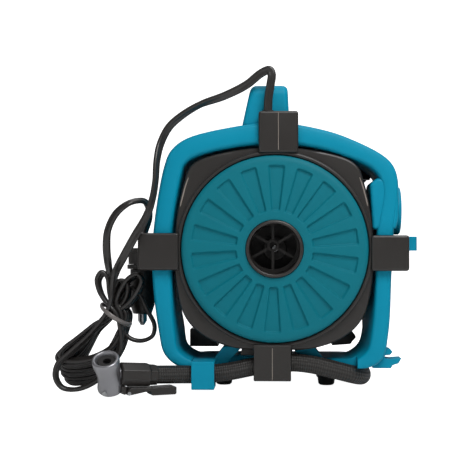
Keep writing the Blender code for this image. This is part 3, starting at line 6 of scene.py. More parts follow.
import bmesh
import bpy
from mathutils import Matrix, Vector


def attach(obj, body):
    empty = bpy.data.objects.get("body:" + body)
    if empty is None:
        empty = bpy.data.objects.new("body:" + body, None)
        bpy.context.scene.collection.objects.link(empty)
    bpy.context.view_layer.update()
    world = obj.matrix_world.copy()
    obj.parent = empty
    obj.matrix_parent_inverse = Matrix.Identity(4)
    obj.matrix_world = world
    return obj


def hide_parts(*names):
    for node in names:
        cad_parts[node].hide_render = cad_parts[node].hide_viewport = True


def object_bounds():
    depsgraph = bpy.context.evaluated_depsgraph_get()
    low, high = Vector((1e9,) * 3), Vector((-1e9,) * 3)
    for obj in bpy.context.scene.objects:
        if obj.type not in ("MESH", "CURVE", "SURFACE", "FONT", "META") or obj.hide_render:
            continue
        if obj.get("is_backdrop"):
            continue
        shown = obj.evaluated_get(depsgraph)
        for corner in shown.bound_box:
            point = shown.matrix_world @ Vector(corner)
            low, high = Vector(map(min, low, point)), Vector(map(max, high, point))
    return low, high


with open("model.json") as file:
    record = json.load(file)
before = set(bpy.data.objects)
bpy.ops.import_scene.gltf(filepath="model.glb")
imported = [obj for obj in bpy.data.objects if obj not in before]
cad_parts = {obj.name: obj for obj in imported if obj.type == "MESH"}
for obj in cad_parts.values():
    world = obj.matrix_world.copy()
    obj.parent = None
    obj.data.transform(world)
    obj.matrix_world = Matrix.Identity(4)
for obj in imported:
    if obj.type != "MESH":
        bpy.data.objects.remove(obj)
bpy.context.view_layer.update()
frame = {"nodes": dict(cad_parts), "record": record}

ROOT = "pump"
X, Y, Z = Vector((1, 0, 0)), Vector((0, 1, 0)), Vector((0, 0, 1))
MM = 0.001
joints = {j["name"]: j for j in frame["record"]["behaviour"]["joints"]}
mounts = {m["name"]: m for m in frame["record"]["mounts"]}
spin = joints["rotor_spin"]["pos_m"]
# How far the port's face stands in front of the rim, which makes it negative in y.
PORT_FRONT = -0.0072
# The fan axis where it meets the front plane of the housing's rim.
AXIS = Vector((spin[0], mounts["fan_port_face"]["pos_m"][1] - PORT_FRONT, spin[2]))


def at(x, y, z):
    """A point given from the fan axis and the rim's front plane, in the row frame."""
    return AXIS + Vector((x, y, z))


def mm(x, y, z):
    """The same point with its three distances given in millimetres."""
    return at(x * MM, y * MM, z * MM)


def angles(count):
    """Even steps once round a circle."""
    return [math.tau * i / count for i in range(count)]


# ---------- materials ----------
def rgb(text):
    """A linear colour from an sRGB hex text."""
    part = [int(text[i : i + 2], 16) / 255 for i in (0, 2, 4)]
    return [c / 12.92 if c <= 0.04045 else ((c + 0.055) / 1.055) ** 2.4 for c in part] + [1.0]


def node(tree, kind, sets=None, **sockets):
    """Adds a node, sets its properties, and fills or links its named inputs."""
    made = tree.nodes.new(kind)
    for key, value in (sets or {}).items():
        setattr(made, key, value)
    for key, value in sockets.items():
        socket = made.inputs[int(key[1:]) if key[0] == "i" and key[1:].isdigit() else key.replace("_", " ")]
        if isinstance(value, bpy.types.NodeSocket):
            tree.links.new(value, socket)
        else:
            socket.default_value = value
    return made


def start(name):
    """A new material with its tree, its shader and the place of each point on the piece."""
    made = bpy.data.materials.new(name)
    made.use_nodes = True
    tree = made.node_tree
    shader = tree.nodes["Principled BSDF"]
    where = node(tree, "ShaderNodeTexCoord").outputs["Object"]
    return made, tree, shader, where


def between(tree, value, low, high, bottom=0.0):
    """The value, which runs from bottom to 1, spread out from low to high."""
    ends = {"From_Min": bottom, "To_Min": low, "To_Max": high}
    return node(tree, "ShaderNodeMapRange", None, Value=value, **ends).outputs["Result"]


def tinted(tree, value, colour, spread):
    """The colour, a little darker and lighter by turns as the value runs from 0 to 1."""
    dark = [c * (1 - spread) for c in colour[:3]] + [1.0]
    light = [min(1.0, c * (1 + spread)) for c in colour[:3]] + [1.0]
    mix = node(tree, "ShaderNodeMix", {"data_type": "RGBA"}, i0=value, i6=dark, i7=light)
    return mix.outputs[2]


# Width of one slow drift of tone over a moulded surface.
CLOUD = 0.018


def moulded(name, colour, rough, grain, relief, metal=0.0, shine=0.5):
    """A surface with a fine grain in relief, and slow drifts of tone and polish over it."""
    made, tree, shader, where = start(name)
    fine = node(tree, "ShaderNodeTexNoise", None, Vector=where, Scale=1 / grain, Detail=3.0)
    slow = node(tree, "ShaderNodeTexNoise", None, Vector=where, Scale=1 / CLOUD, Detail=4.0)
    bump = node(tree, "ShaderNodeBump", None, Height=fine.outputs[0], Distance=relief, Strength=0.6)
    tree.links.new(tinted(tree, slow.outputs[0], rgb(colour), 0.06), shader.inputs["Base Color"])
    tree.links.new(between(tree, slow.outputs[0], rough - 0.07, rough + 0.07), shader.inputs["Roughness"])
    tree.links.new(bump.outputs[0], shader.inputs["Normal"])
    shader.inputs["Metallic"].default_value = metal
    shader.inputs["Specular IOR Level"].default_value = shine
    return made


# Girth that a strand goes round for each metre that it goes along.
STRAND_LEAN = 0.62


def woven(name, colour, pitch):
    """Crossing strands wound both ways round a hose, from its length and girth in metres."""
    made, tree, shader, _ = start(name)
    flat = node(tree, "ShaderNodeSeparateXYZ", None, i0=node(tree, "ShaderNodeUVMap").outputs[0])
    along, girth = flat.outputs[0], flat.outputs[1]

    def strands(sign):
        """One set of strands, wound the way of the sign."""
        turn = node(tree, "ShaderNodeMath", {"operation": "MULTIPLY"}, i0=girth, i1=sign * STRAND_LEAN)
        lean = node(tree, "ShaderNodeMath", {"operation": "ADD"}, i0=along, i1=turn.outputs[0])
        turns = math.tau / pitch
        phase = node(tree, "ShaderNodeMath", {"operation": "MULTIPLY"}, i0=lean.outputs[0], i1=turns)
        return node(tree, "ShaderNodeMath", {"operation": "SINE"}, i0=phase.outputs[0]).outputs[0]

    cross = node(tree, "ShaderNodeMath", {"operation": "MULTIPLY"}, i0=strands(1), i1=strands(-1))
    height = between(tree, cross.outputs[0], 0.0, 1.0, bottom=-1.0)
    bump = node(tree, "ShaderNodeBump", None, Height=height, Distance=0.0005, Strength=0.9)
    # The colour follows the strands' height: painted shade in the valleys between strands and painted
    # highlight on their crowns.
    tree.links.new(tinted(tree, height, rgb(colour), 0.55), shader.inputs["Base Color"])
    tree.links.new(between(tree, height, 0.62, 0.42), shader.inputs["Roughness"])
    tree.links.new(bump.outputs[0], shader.inputs["Normal"])
    return made


def brushed(name, colour, rough, stretch):
    """Metal with fine lines drawn one way, which pull its highlights out across them."""
    made, tree, shader, where = start(name)
    scaled = node(tree, "ShaderNodeMapping", None, Vector=where, Scale=stretch)
    lines = node(tree, "ShaderNodeTexNoise", None, Vector=scaled.outputs[0], Scale=1.0, Detail=4.0)
    bump = node(tree, "ShaderNodeBump", None, Height=lines.outputs[0], Distance=0.00005, Strength=0.5)
    tree.links.new(tinted(tree, lines.outputs[0], rgb(colour), 0.10), shader.inputs["Base Color"])
    tree.links.new(between(tree, lines.outputs[0], rough - 0.08, rough + 0.1), shader.inputs["Roughness"])
    tree.links.new(bump.outputs[0], shader.inputs["Normal"])
    shader.inputs["Metallic"].default_value = 1.0
    return made


# A bright flat blue with a soft sheen at its turned edges.
TEAL = moulded("satin moulded teal ABS", "008CAB", 0.50, 0.0005, 0.00002, shine=0.16)
# Greener and duller than the frame, so the cover reads as its own moulding.
COVER = moulded("fine textured teal ABS", "07707F", 0.55, 0.0004, 0.00003, shine=0.16)
# Warm dark grey that lifts to pale lines along every rounded edge.
BLACK = moulded("satin moulded black ABS", "272422", 0.40, 0.0006, 0.00003)
# A paler painted highlight line, where two faces of the housing meet and along the arms' seams.
EDGE = moulded("painted highlight on black ABS edge", "8C837B", 0.35, 0.0006, 0.00002)
# Dull soft black that takes almost no highlight.
RUBBER = moulded("moulded black rubber", "1B1A1A", 0.72, 0.0009, 0.00005)
# Grey-black sleeve whose strands catch light one by one, with painted shade between strands and painted
# highlight on their crowns, drawn coarse enough to show.
BRAID = woven("woven black hose sleeve", "262422", 0.0030)
# Smooth soft sheath with long highlights along each of its two cores.
SHEATH = moulded("extruded black PVC sheath", "292726", 0.30, 0.0012, 0.00003)
# A glossy grey strip that stands off the darker cord.
TIE = moulded("grey plastic wire tie", "75706E", 0.30, 0.0008, 0.00002)
# Mid-grey casting with soft pits, between dull and polished.
ZINC = moulded("die cast zinc", "96969A", 0.34, 0.0007, 0.00003, metal=0.75)
# Fine turned rings of light on the small metal pieces.
STEEL = brushed("turned steel", "A9ABAD", 0.30, (9000.0, 400.0, 9000.0))
# Warm yellow metal with the same drawn lines.
BRASS = brushed("turned brass", "B5924E", 0.32, (400.0, 9000.0, 400.0))
# Pale matt casting with a sandy skin.
CAST = moulded("sand cast aluminium", "A2A4A6", 0.52, 0.0008, 0.00006, metal=0.9)
# Warm off-white with a soft sheen.
NYLON = moulded("moulded white nylon", "DAD7CF", 0.42, 0.0007, 0.00002)
# Flat white ground for the pointer.
DIAL = moulded("painted white dial", "E8E8E4", 0.60, 0.0005, 0.00001)
# The one warm accent, seen only through the gauge lens.
RED = moulded("painted red pointer", "B01818", 0.35, 0.0005, 0.00001)
# Clear pane with a faint gloss, through which the dial is seen.
LENS = moulded("clear moulded polycarbonate", "EEF2F3", 0.12, 0.002, 0.00001)
LENS.node_tree.nodes["Principled BSDF"].inputs["Transmission Weight"].default_value = 0.95

OF_SLOT = {
    "teal_abs": TEAL,
    "cover_teal_abs": COVER,
    "black_abs": BLACK,
    "black_rubber": RUBBER,
    "braided_rubber": BRAID,
    "cord_pvc": SHEATH,
    "zinc_alloy": ZINC,
    "steel": STEEL,
    "brass": BRASS,
    "cast_aluminium": CAST,
    "white_nylon": NYLON,
    "dial_white": DIAL,
    "needle_red": RED,
    "clear_polycarbonate": LENS,
}


# ---------- shapes ----------
# An edge that turns more than this is kept crisp, or rounded by a bevel.
STEEP = math.radians(38)


def smoothing():
    """Geometry nodes that round the shading over shallow edges and keep steep ones crisp."""
    group = bpy.data.node_groups.new("shade_by_angle", "GeometryNodeTree")
    for side in ("INPUT", "OUTPUT"):
        group.interface.new_socket("Geometry", in_out=side, socket_type="NodeSocketGeometry")
    entry = node(group, "NodeGroupInput").outputs[0]
    angle = node(group, "GeometryNodeInputMeshEdgeAngle").outputs[0]
    low = node(group, "FunctionNodeCompare", {"operation": "LESS_THAN"}, A=angle, B=STEEP)
    faces = node(group, "GeometryNodeSetShadeSmooth", None, Geometry=entry)
    edges = node(group, "GeometryNodeSetShadeSmooth", {"domain": "EDGE"}, Geometry=faces.outputs[0])
    group.links.new(low.outputs[0], edges.inputs["Shade Smooth"])
    node(group, "NodeGroupOutput", None, Geometry=edges.outputs[0])
    return group


SHADE = smoothing()


def dress(piece, bevel):
    """Rounds a piece's steep edges by the bevel and smooths its shading."""
    if bevel:
        weld = piece.modifiers.new("weld", "WELD")
        weld.merge_threshold = 0.000005
        edge = piece.modifiers.new("bevel", "BEVEL")
        edge.width, edge.segments, edge.limit_method = bevel, 3, "ANGLE"
        edge.angle_limit = STEEP
    piece.modifiers.new("shade", "NODES").node_group = SHADE
    if bevel:
        piece.modifiers.new("facing", "WEIGHTED_NORMAL").keep_sharp = True


def outward(name, points, faces):
    """A mesh of the points and faces, with every face turned outward."""
    data = bpy.data.meshes.new(name)
    data.from_pydata([tuple(p) for p in points], [], faces)
    work = bmesh.new()
    work.from_mesh(data)
    bmesh.ops.recalc_face_normals(work, faces=work.faces)
    work.to_mesh(data)
    work.free()
    return data


def placed(name, data):
    """An object for a mesh, a lamp or a camera, linked into the scene."""
    made = bpy.data.objects.new(name, data)
    bpy.context.collection.objects.link(made)
    return made


def build(name, points, faces, slot, body=ROOT, bevel=0.0, uv=None, finish=None):
    """Makes one mesh piece that rides on a body and, unless told, wears its slot's finish."""
    data = outward(name, points, faces)
    if uv:
        layer = data.uv_layers.new(name="UVMap")
        for loop in data.loops:
            layer.data[loop.index].uv = uv[loop.vertex_index]
    piece = placed(name, data)
    data.materials.append(finish or OF_SLOT[slot])
    dress(piece, bevel)
    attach(piece, body)
    return piece


def skin(rings, closed=False):
    """Points and faces of a skin over rings of equal count, capped or joined end to end."""
    count, points, faces = len(rings[0]), [p for ring in rings for p in ring], []
    pairs = [(i, i + 1) for i in range(len(rings) - 1)]
    if closed:
        pairs.append((len(rings) - 1, 0))
    else:
        faces.append(list(range(count)))
        faces.append([(len(rings) - 1) * count + i for i in range(count)])
    for a, b in pairs:
        for i in range(count):
            j = (i + 1) % count
            faces.append([a * count + i, a * count + j, b * count + j, b * count + i])
    return points, faces


def part_way(a, b, low, high, u):
    """The point at u between a, which is at low, and b, which is at high."""
    return a * ((high - u) / (high - low)) + b * ((u - low) / (high - low))


def curved(points, per, closed=False):
    """Centripetal curve through the points, per samples to each span."""
    pts = [Vector(p) for p in points]
    count = len(pts)
    out = []
    for i in range(count if closed else count - 1):
        if closed:
            p = [pts[(i + k - 1) % count] for k in range(4)]
        else:
            p = [pts[min(max(i + k - 1, 0), count - 1)] for k in range(4)]
            if i == 0:
                p[0] = 2 * p[1] - p[2]
            if i == count - 2:
                p[3] = 2 * p[2] - p[1]
        t = [0.0]
        for k in range(3):
            t.append(t[-1] + max((p[k + 1] - p[k]).length, 1e-7) ** 0.5)
        for s in range(per):
            u = t[1] + (t[2] - t[1]) * s / per
            a = [part_way(p[k], p[k + 1], t[k], t[k + 1], u) for k in range(3)]
            b = [part_way(a[k], a[k + 1], t[k], t[k + 2], u) for k in range(2)]
            out.append(part_way(b[0], b[1], t[1], t[2], u))
    if not closed:
        out.append(pts[-1])
    return out


def round_line(centre, side, other, wide, high, sides):
    """An oval of points about a centre, from its two half widths."""
    return [centre + side * wide * math.cos(a) + other * high * math.sin(a) for a in angles(sides)]


def turned(name, profile, centre, axis, slot, sides=96, finish=None):
    """Turns (radius, along) points round an axis. Radius 0 at an end closes it there."""
    side = axis.orthogonal().normalized()
    other = axis.cross(side)
    rings = []
    for radius, along in profile:
        radius = max(radius, 1e-5)
        rings.append(round_line(centre + axis * along, side, other, radius, radius, sides))
    closed = profile[0][0] > 0 and profile[-1][0] > 0
    points, faces = skin(rings, closed)
    return build(name, points, faces, slot, finish=finish)


def prism(name, outline, low, high, slot, bevel, body=ROOT, finish=None):
    """An outline of points pushed from the low offset to the high one."""
    points, faces = skin([[p + low for p in outline], [p + high for p in outline]])
    return build(name, points, faces, slot, body, bevel, finish=finish)


def block(name, slot, y, deep, bevel, spots):
    """An outline of x and z in mm, pushed back from the depth y."""
    prism(name, [mm(x, y, z) for x, z in spots], Vector(), Y * deep * MM, slot, bevel)


def cut(piece, cutter):
    """Cuts a tool out of a piece for good, and takes the tool away."""
    modifier = piece.modifiers.new("cut", "BOOLEAN")
    modifier.operation, modifier.solver, modifier.object = "DIFFERENCE", "EXACT", cutter
    piece.modifiers.move(len(piece.modifiers) - 1, 0)
    bpy.context.view_layer.update()
    baked = bpy.data.meshes.new_from_object(with_only_cut(piece))
    old, piece.data = piece.data, baked
    bpy.data.meshes.remove(old)
    piece.modifiers.remove(piece.modifiers[0])
    bpy.data.objects.remove(cutter)


def with_only_cut(piece):
    """The piece as evaluated with its first modifier alone."""
    for modifier in list(piece.modifiers)[1:]:
        modifier.show_viewport = False
    bpy.context.view_layer.update()
    seen = piece.evaluated_get(bpy.context.evaluated_depsgraph_get())
    for modifier in piece.modifiers:
        modifier.show_viewport = True
    return seen


def tool(outline, reach):
    """A plain solid for cutting with: the outline and all that lies along the reach from it."""
    points, faces = skin([outline, [p + reach for p in outline]])
    return placed("tool", outward("tool", points, faces))


def oblong(x0, x1, z0, z1, y):
    """A rectangle that faces the front at the depth y."""
    return [at(x0, y, z0), at(x1, y, z0), at(x1, y, z1), at(x0, y, z1)]


# ---------- camera ----------
EYE = mm(2.9, -700, 2.6)
AIM = mm(-27.4, 0, 10.7)
camera = placed("Camera", bpy.data.cameras.new("Camera"))
camera.location = EYE
camera.rotation_euler = (AIM - EYE).to_track_quat("-Z", "Y").to_euler()
camera.data.lens = 83.3
camera.data.clip_start = 0.01
bpy.context.scene.camera = camera

# ---------- cord ----------
# Each point is x, y, z in mm from the fan axis, then how far the flat side is turned to the front.
LEAD = [
    (-4.3, 2.6, 90.2, 1.0), (-4.0, 2.6, 98.5, 1.0), (-2.7, 2.6, 107.0, 1.0), (-1.9, 2.7, 114.2, 0.95),
    (-3.4, 3.2, 117.0, 0.9), (-8.6, 3.9, 115.2, 0.95), (-18.5, 4.0, 107.5, 0.9),
    (-33.0, 5.0, 100.5, 0.7), (-49.0, 6.0, 95.0, 0.35), (-61.5, 6.0, 87.5, 0.5),
    (-69.5, 5.0, 80.0, 0.6), (-74.8, 3.0, 69.0, 0.55), (-76.8, -1.0, 57.5, 0.4),
    (-77.5, -3.0, 44.0, 0.3), (-79.5, -3.5, 32.0, 0.4), (-83.0, -4.5, 21.5, 0.6),
    (-90.5, -7.0, 8.0, 0.9), (-98.5, -5.0, -6.0, 0.9), (-104.0, 2.0, -15.0, 0.6),
    (-106.6, 4.5, -24.0, 0.2), (-107.6, 4.5, -33.0, 0.0),
]
TAIL = [
    (-106.5, 33.0, -33.0, 0.0), (-109.5, 27.0, -23.6, 0.2), (-110.7, 20.0, -17.5, 0.5),
    (-111.2, 13.0, -8.0, 0.8), (-111.2, 8.0, 2.0, 0.85), (-109.5, 4.0, 13.0, 0.6),
    (-104.0, 3.0, 23.5, 0.6), (-96.0, 4.0, 30.0, 0.35), (-88.5, 11.0, 32.0, 0.3),
    (-85.5, 22.0, 29.0, 0.3), (-86.0, 34.0, 21.0, 0.3), (-90.0, 43.0, 11.0, 0.2),
    (-91.8, 45.0, 5.0, 0.1), (-92.0, 45.0, 1.2, 0.1),
]
# Folds above the tie, as x and z: a small left loop, a teardrop, one between, and a wide one
# that comes down to the right of the tie.
ABOVE = {
    "left": [
        (-112.0, -34), (-116.0, -27), (-117.2, -19.5), (-114.2, -15.2), (-110.6, -18.5), (-109.4, -27),
    ],
    "tear": [
        (-104.6, -35), (-102, -27), (-96.5, -19), (-90.6, -16.4), (-88, -20.5), (-91.5, -29),
        (-98, -37),
    ],
    "middle": [
        (-107, -33), (-106, -26), (-103, -20.5), (-98.4, -21.5), (-97.6, -28), (-101, -36),
    ],
    "wide": [
        (-101, -52), (-96, -58.5), (-88, -60.2), (-81, -57), (-79.6, -50), (-84, -40.5), (-90, -29.5),
        (-96, -24.5), (-101.5, -31),
    ],
}
ORDER = ["left", "tear", "middle", "tear", "wide", "middle", "left", "tear", "middle", "left"]
TURNS = len(ORDER)


# The first fold under the tie has slipped down in front of the others.
SLIPPED = [
    (-121, -56), (-134, -68), (-142.4, -76), (-144.0, -84.4), (-140, -91.2), (-131.5, -92.6),
    (-121, -89), (-110, -80), (-102, -66),
]


def below(k):
    """One fold of the hank under the tie: out to the lower left, round and back."""
    if k == 0:
        return SLIPPED
    slip = 1.3 * math.sin(2.4 * k)
    drop = 2.6 * k
    return [
        (-119 - 0.3 * k, -50 - 0.9 * k),
        (-132 + slip, -58 - 0.75 * drop),
        (-140 + slip, -63.5 - 0.85 * drop),
        (-142.6 + slip, -67.6 - 0.9 * drop),
        (-139.5 + slip, -71 - 0.88 * drop),
        (-130, -71.5 - 0.86 * drop),
        (-119, -69.5 - 0.78 * drop),
        (-109 + slip, -64 - 0.5 * drop),
        (-102.5 + slip, -54 - 0.3 * drop),
    ]


def hank():
    """The turns of the tied bundle, front to back, and each crossing of the tie."""
    line = []
    for k, kind in enumerate(ORDER):
        depth, lean = 4.5 + 3.2 * k, 2.6 * (k % 3)
        line.append((-111.0 + lean, depth, -42.5, 0.0))
        for i, (x, z) in enumerate(below(k)):
            wander, turn = 0.5 * math.sin(1.7 * i + k), 0.22 + 0.2 * math.sin(i + 2.0 * k)
            line.append((x, depth + wander, z, turn))
        line.append((-104.0 + lean, depth + 1.2, -43.5, 0.0))
        if k < TURNS - 1:
            over = ABOVE[kind]
            for i, (x, z) in enumerate(over):
                share = (i + 1) / (len(over) + 1)
                line.append((x - 0.25 * k, depth + 1.2 + 2.0 * share, z - 0.35 * k, 0.0))
    return line


ROUTE = LEAD + hank() + TAIL
SAMPLES = 12
CORE = 1.4 * MM
line = [AXIS + p for p in curved([Vector(p[:3]) * MM for p in ROUTE], SAMPLES)]


def facing(i):
    """How far the cord's flat side is turned to the front at sample i of its line."""
    k, s = divmod(i, SAMPLES)
    if s == 0:
        return ROUTE[k][3]
    return ROUTE[k][3] + (ROUTE[k + 1][3] - ROUTE[k][3]) * s / SAMPLES


def core_line():
    """The section of the cord: two round cores side by side in one sheath."""
    steps = [math.radians(a) for a in range(-128, 129, 32)]
    half = [(CORE + CORE * math.cos(a), CORE * math.sin(a)) for a in steps]
    return half + [(-x, -y) for x, y in half]


section = core_line()
rings = []
for i, p in enumerate(line):
    ahead = (line[min(i + 1, len(line) - 1)] - line[max(i - 1, 0)]).normalized()
    across = ahead.cross(Y)
    across = across.normalized() if across.length > 0.05 else X
    turn = facing(i) * math.pi / 2
    wide = (Y - ahead * Y.dot(ahead)).normalized() * math.cos(turn) + across * math.sin(turn)
    wide.normalize()
    thin = ahead.cross(wide).normalized()
    rings.append([p + wide * u + thin * v for u, v in section])
points, faces = skin(rings)
flex = build("Supply_cord", points, faces, "cord_pvc")
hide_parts("cord_lead", "cord_hank", "cord_tail")

eyelet = round_line(at(-0.0043, 0.0026, 0.0), X, Y, 0.0036, 0.0022, 40)
gland = prism("Cord_gland", eyelet, Z * 0.0880, Z * 0.0908, "black_rubber", 0.0005)
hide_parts("cord_gland")

# The tie leans down to the right as it goes round the folds.
TIE_STEPS = 48
band = []
for a in angles(TIE_STEPS):
    band.append(mm(-106.4 + 9.6 * math.cos(a), 18.5 - 18.6 * math.sin(a), -44.0 - 6.5 * math.cos(a)))
rings = []
for i, p in enumerate(band):
    ahead = (band[(i + 1) % TIE_STEPS] - band[i - 1]).normalized()
    side = ahead.cross(Z).normalized()
    rings.append(round_line(p, side, ahead.cross(side), 0.9 * MM, 1.5 * MM, 12))
points, faces = skin(rings, closed=True)
build("Wire_tie", points, faces, "cord_pvc", finish=TIE)

# ---------- carry frame ----------
OUTER = [
    (0, 83.2), (-22, 81.2), (-58, 72.8), (-68.2, 65), (-72.4, 56), (-79.6, 15), (-80.6, -16),
    (-76.4, -53.5), (-72.3, -69.5), (-61.6, -77.8), (-48, -77.8), (48, -77.8), (60.8, -77.6),
    (70.2, -72), (74.2, -55), (76.3, -16), (77.7, 11), (80.6, 44), (75.4, 57.2), (47.9, 72.8),
    (24, 79.9),
]
INNER = [
    (0, 68.6), (-21.5, 67.4), (-50, 61.2), (-58.6, 56), (-61.6, 47.5), (-67.4, 12), (-67.7, -16),
    (-65.3, -55), (-62.6, -67), (-53.5, -73), (-44, -73), (40, -73), (51, -72.8), (59.8, -66.5),
    (63, -54), (66, -16), (66.5, 11), (70.2, 41), (64.4, 51.6), (42.5, 61.9), (21, 67.2),
]
FRONT, SPLIT, BACK = 2.8, 54.0, 106.0
outer_line, inner_line = (
    curved([(x * MM, z * MM, 0) for x, z in spots], 7, closed=True) for spots in (OUTER, INNER)
)


def hoop(name, section, replaced):
    """A closed section of (share from outside in, depth) carried round the frame's outline."""
    rings = []
    for share, y in section:
        ring = []
        for o, i in zip(outer_line, inner_line):
            # A share past 1 thickens the wall, and only towards the floor.
            floorward = min(1.0, max(0.0, -o.y / MM / 20 - 1.5))
            drawn = min(share, 1.0) + max(share - 1.0, 0.0) * floorward
            ring.append(at(o.x + (i.x - o.x) * drawn, y * MM, o.y + (i.y - o.y) * drawn))
        rings.append(ring)
    points, faces = skin(rings, closed=True)
    piece = build(name, points, faces, "teal_abs")
    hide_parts(replaced)
    return piece


front_section = [
    (0.04, SPLIT - 0.05), (0, SPLIT - 0.5), (0, 8.0), (0.01, 5.6), (0.05, 4.1), (0.12, 3.2),
    (0.2, FRONT), (0.8, FRONT), (0.9, 3.2), (0.97, 4.1), (1.0, 5.4), (1.12, 30.0), (1.2, SPLIT - 1.2),
    (0.9, SPLIT - 0.05),
]
rear_section = [
    (0.04, SPLIT + 0.05), (0, SPLIT + 0.5), (0, BACK - 4), (0.02, BACK - 1.6), (0.08, BACK - 0.4),
    (0.15, BACK), (0.24, BACK - 0.4), (0.28, BACK - 1.6), (0.28, SPLIT + 0.05),
]
ring_front = hoop("Carry_frame_front", front_section, "carry_frame_front")
ring_rear = hoop("Carry_frame_rear", rear_section, "carry_frame_rear")
# Room for a hand under the handle, which goes deeper behind the front lip.
for piece in (ring_front, ring_rear):
    cut(piece, tool(oblong(-0.026, 0.014, 0.0745, 0.0965, 0.023), Y * 0.066))
    cut(piece, tool(oblong(-0.026, 0.014, 0.050, 0.0750, 0.040), Y * 0.049))
# The open front of the floor side, and the notch behind it.
cut(ring_front, tool(oblong(-0.0545, 0.0540, -0.0880, -0.0700, -0.01), Y * 0.026))
notch = [mm(x, y, -90) for x, y in ((-38, 15.8), (38, 15.8), (22, 40), (-22, 40))]
cut(ring_front, tool(notch, Z * 0.0198))

FORK = [
    (64, -70.5), (68.8, -68.2), (72, -66), (75.8, -65.6), (77.4, -67.6), (75.8, -69.6), (72.2, -70),
    (72.2, -71.8), (76.2, -72.2), (83.2, -71.6), (81.2, -75.2), (77.2, -76.4), (76.4, -78.4),
    (64, -78.4),
]
block("Accessory_fork", "teal_abs", 10.5, 14, 0.0007, FORK)
pod = [
    (0.0136, 0.0715), (0.0136, 0.0826), (0.0142, 0.0832), (0.0152, 0.0832), (0.0160, 0.0822),
    (0.0160, 0.0690), (0.0150, 0.0668), (0.0140, 0.0668),
]
turned("Gauge_pod", pod, at(0, 0.024, 0.0255), X, "teal_abs")

# ---------- handle ----------
HANDLE_FOOT, HANDLE_TOP = 0.0796, 0.1085
CORNER_STEPS = 7


def side_line(y0, y1, z0, z1, radius):
    """A rectangle in y and z whose two upper corners are rounded."""
    spots = [(y0, z0)]
    for middle, first in ((y0 + radius, math.pi), (y1 - radius, math.pi / 2)):
        for i in range(CORNER_STEPS):
            a = first - math.pi / 2 * i / (CORNER_STEPS - 1)
            spots.append((middle + radius * math.cos(a), z1 - radius + radius * math.sin(a)))
    return spots + [(y1, z0)]


outside = side_line(0.0085, 0.106, HANDLE_FOOT, HANDLE_TOP, 0.007)
inside = side_line(0.0225, 0.092, HANDLE_FOOT, 0.0955, 0.005)
outline = outside + list(reversed(inside))


def flank(side):
    """The handle's side outline, leaning in towards the top."""
    made = []
    for y, z in outline:
        share = min(1.0, max(0.0, (z - 0.0806) / 0.0279))
        x = (-0.0220 + 0.0065 * share) if side < 0 else (0.0100 - 0.0015 * share)
        made.append(at(x, y, z))
    return made


points, faces = skin([flank(-1), flank(1)])
grab = build("Carry_handle", points, faces, "teal_abs", bevel=0.0034)
grab.modifiers["bevel"].segments = 6
grab.modifiers["bevel"].use_clamp_overlap = False
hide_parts("handle")

# ---------- fan housing ----------
HALF = [
    (0, 67.6), (21, 66.4), (49.2, 59.8), (56.6, 54.2), (60.4, 44), (64.2, 28), (66.2, 12), (66.5, -16),
    (60, -44.5), (48, -57.5), (28, -65.5), (0, -67.5),
]
half_line = curved([(x * MM, z * MM, 0) for x, z in HALF], 9)
# Scale of the outline at each depth, from the rolled front edge to the back.
STACK = [(0.958, 4.0), (0.972, 4.1), (0.981, 4.7), (0.986, 5.8), (1.0, 22.0), (1.0, 56.5), (0.985, 58.0)]
HALF_GAP = 0.0001
HOUSING_BORE = 0.0612
# The right half is a little narrower than the left one.
HALVES = {"left": (-1, 1.0), "right": (1, 0.98)}


def housing(name, side, share, replaced):
    """One half of the housing, hollow behind the cover, as a share of the full half width."""
    rings = []
    for scale, y in STACK:
        rings.append([at(side * (HALF_GAP + p.x * scale * share), y * MM, p.y * scale) for p in half_line])
    points, faces = skin(rings)
    piece = build(name, points, faces, "black_abs")
    bore = round_line(at(0, -0.01, 0), X, Z, HOUSING_BORE, HOUSING_BORE, 120)
    cut(piece, tool(bore, Y * 0.0655))
    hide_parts(replaced)


for half, (side, share) in HALVES.items():
    housing("Housing_" + half, side, share, "housing_" + half)
rim = [
    (0.0613, 0.0065), (0.0613, 0.0010), (0.0616, 0.0003), (0.0622, 0.0), (0.0632, 0.0),
    (0.0638, 0.0004), (0.0641, 0.0012), (0.0641, 0.0065),
]
turned("Housing_rim", rim, AXIS, Y, "black_abs", 160)

# Thin pale tubes along the bevelled edges of the housing: a painted highlight where the front face meets
# the side bevel.
RIDGE = [(53.6, 54.2), (58.2, 42.0), (61.4, 30.0), (62.2, 26.5)]
for half, (side, share) in HALVES.items():
    ridge = curved([mm(side * share * x, 4.6, z) for x, z in RIDGE], 6)
    rings = []
    for i, p in enumerate(ridge):
        along = 0.08 + 0.84 * i / (len(ridge) - 1)
        thick = 0.75 * MM * math.sin(math.pi * along) ** 0.5
        rings.append(round_line(p, X, Y, thick, thick, 10))
    points, faces = skin(rings)
    build("Edge_highlight_ridge_" + half, points, faces, "black_abs", finish=EDGE)


def arm(name, out, across, start, end, reach, wall, back):
    """An L-shaped arm: a plate in front of the frame and a wall that goes back outside it."""
    root, front, rear = 62.4, -2.0, 2.5
    spots = [(root, rear), (root, front), (reach, front), (reach, back), (wall, back), (wall, rear)]
    outline = [AXIS + out * u * MM + Y * v * MM for u, v in spots]
    prism(name, outline, across * start * MM, across * end * MM, "black_abs", 0.0017)


arm("Arm_left", -X, Z, -14.0, 10.4, 89.4, 80.4, 26)
arm("Arm_right", X, Z, -14.3, 8.9, 87.0, 78.0, 26)
arm("Arm_top", Z, X, -10.45, 15.45, 89.8, 80.4, 7.8)
arm("Arm_bottom", -Z, X, -13.65, 10.65, 85.8, 84.2, 26)
# Pale strips down the arm seams: a painted highlight along each seam line.
for name, x, low, high in (("Seam_top", 2.5, 64.4, 88.6), ("Seam_bottom", -1.5, -84.9, -64.4)):
    strip = round_line(mm(x, -2.0, 0), X, Y, 0.22 * MM, 0.16 * MM, 12)
    prism(name, strip, Z * low * MM, Z * high * MM, "black_abs", 0.0, finish=EDGE)

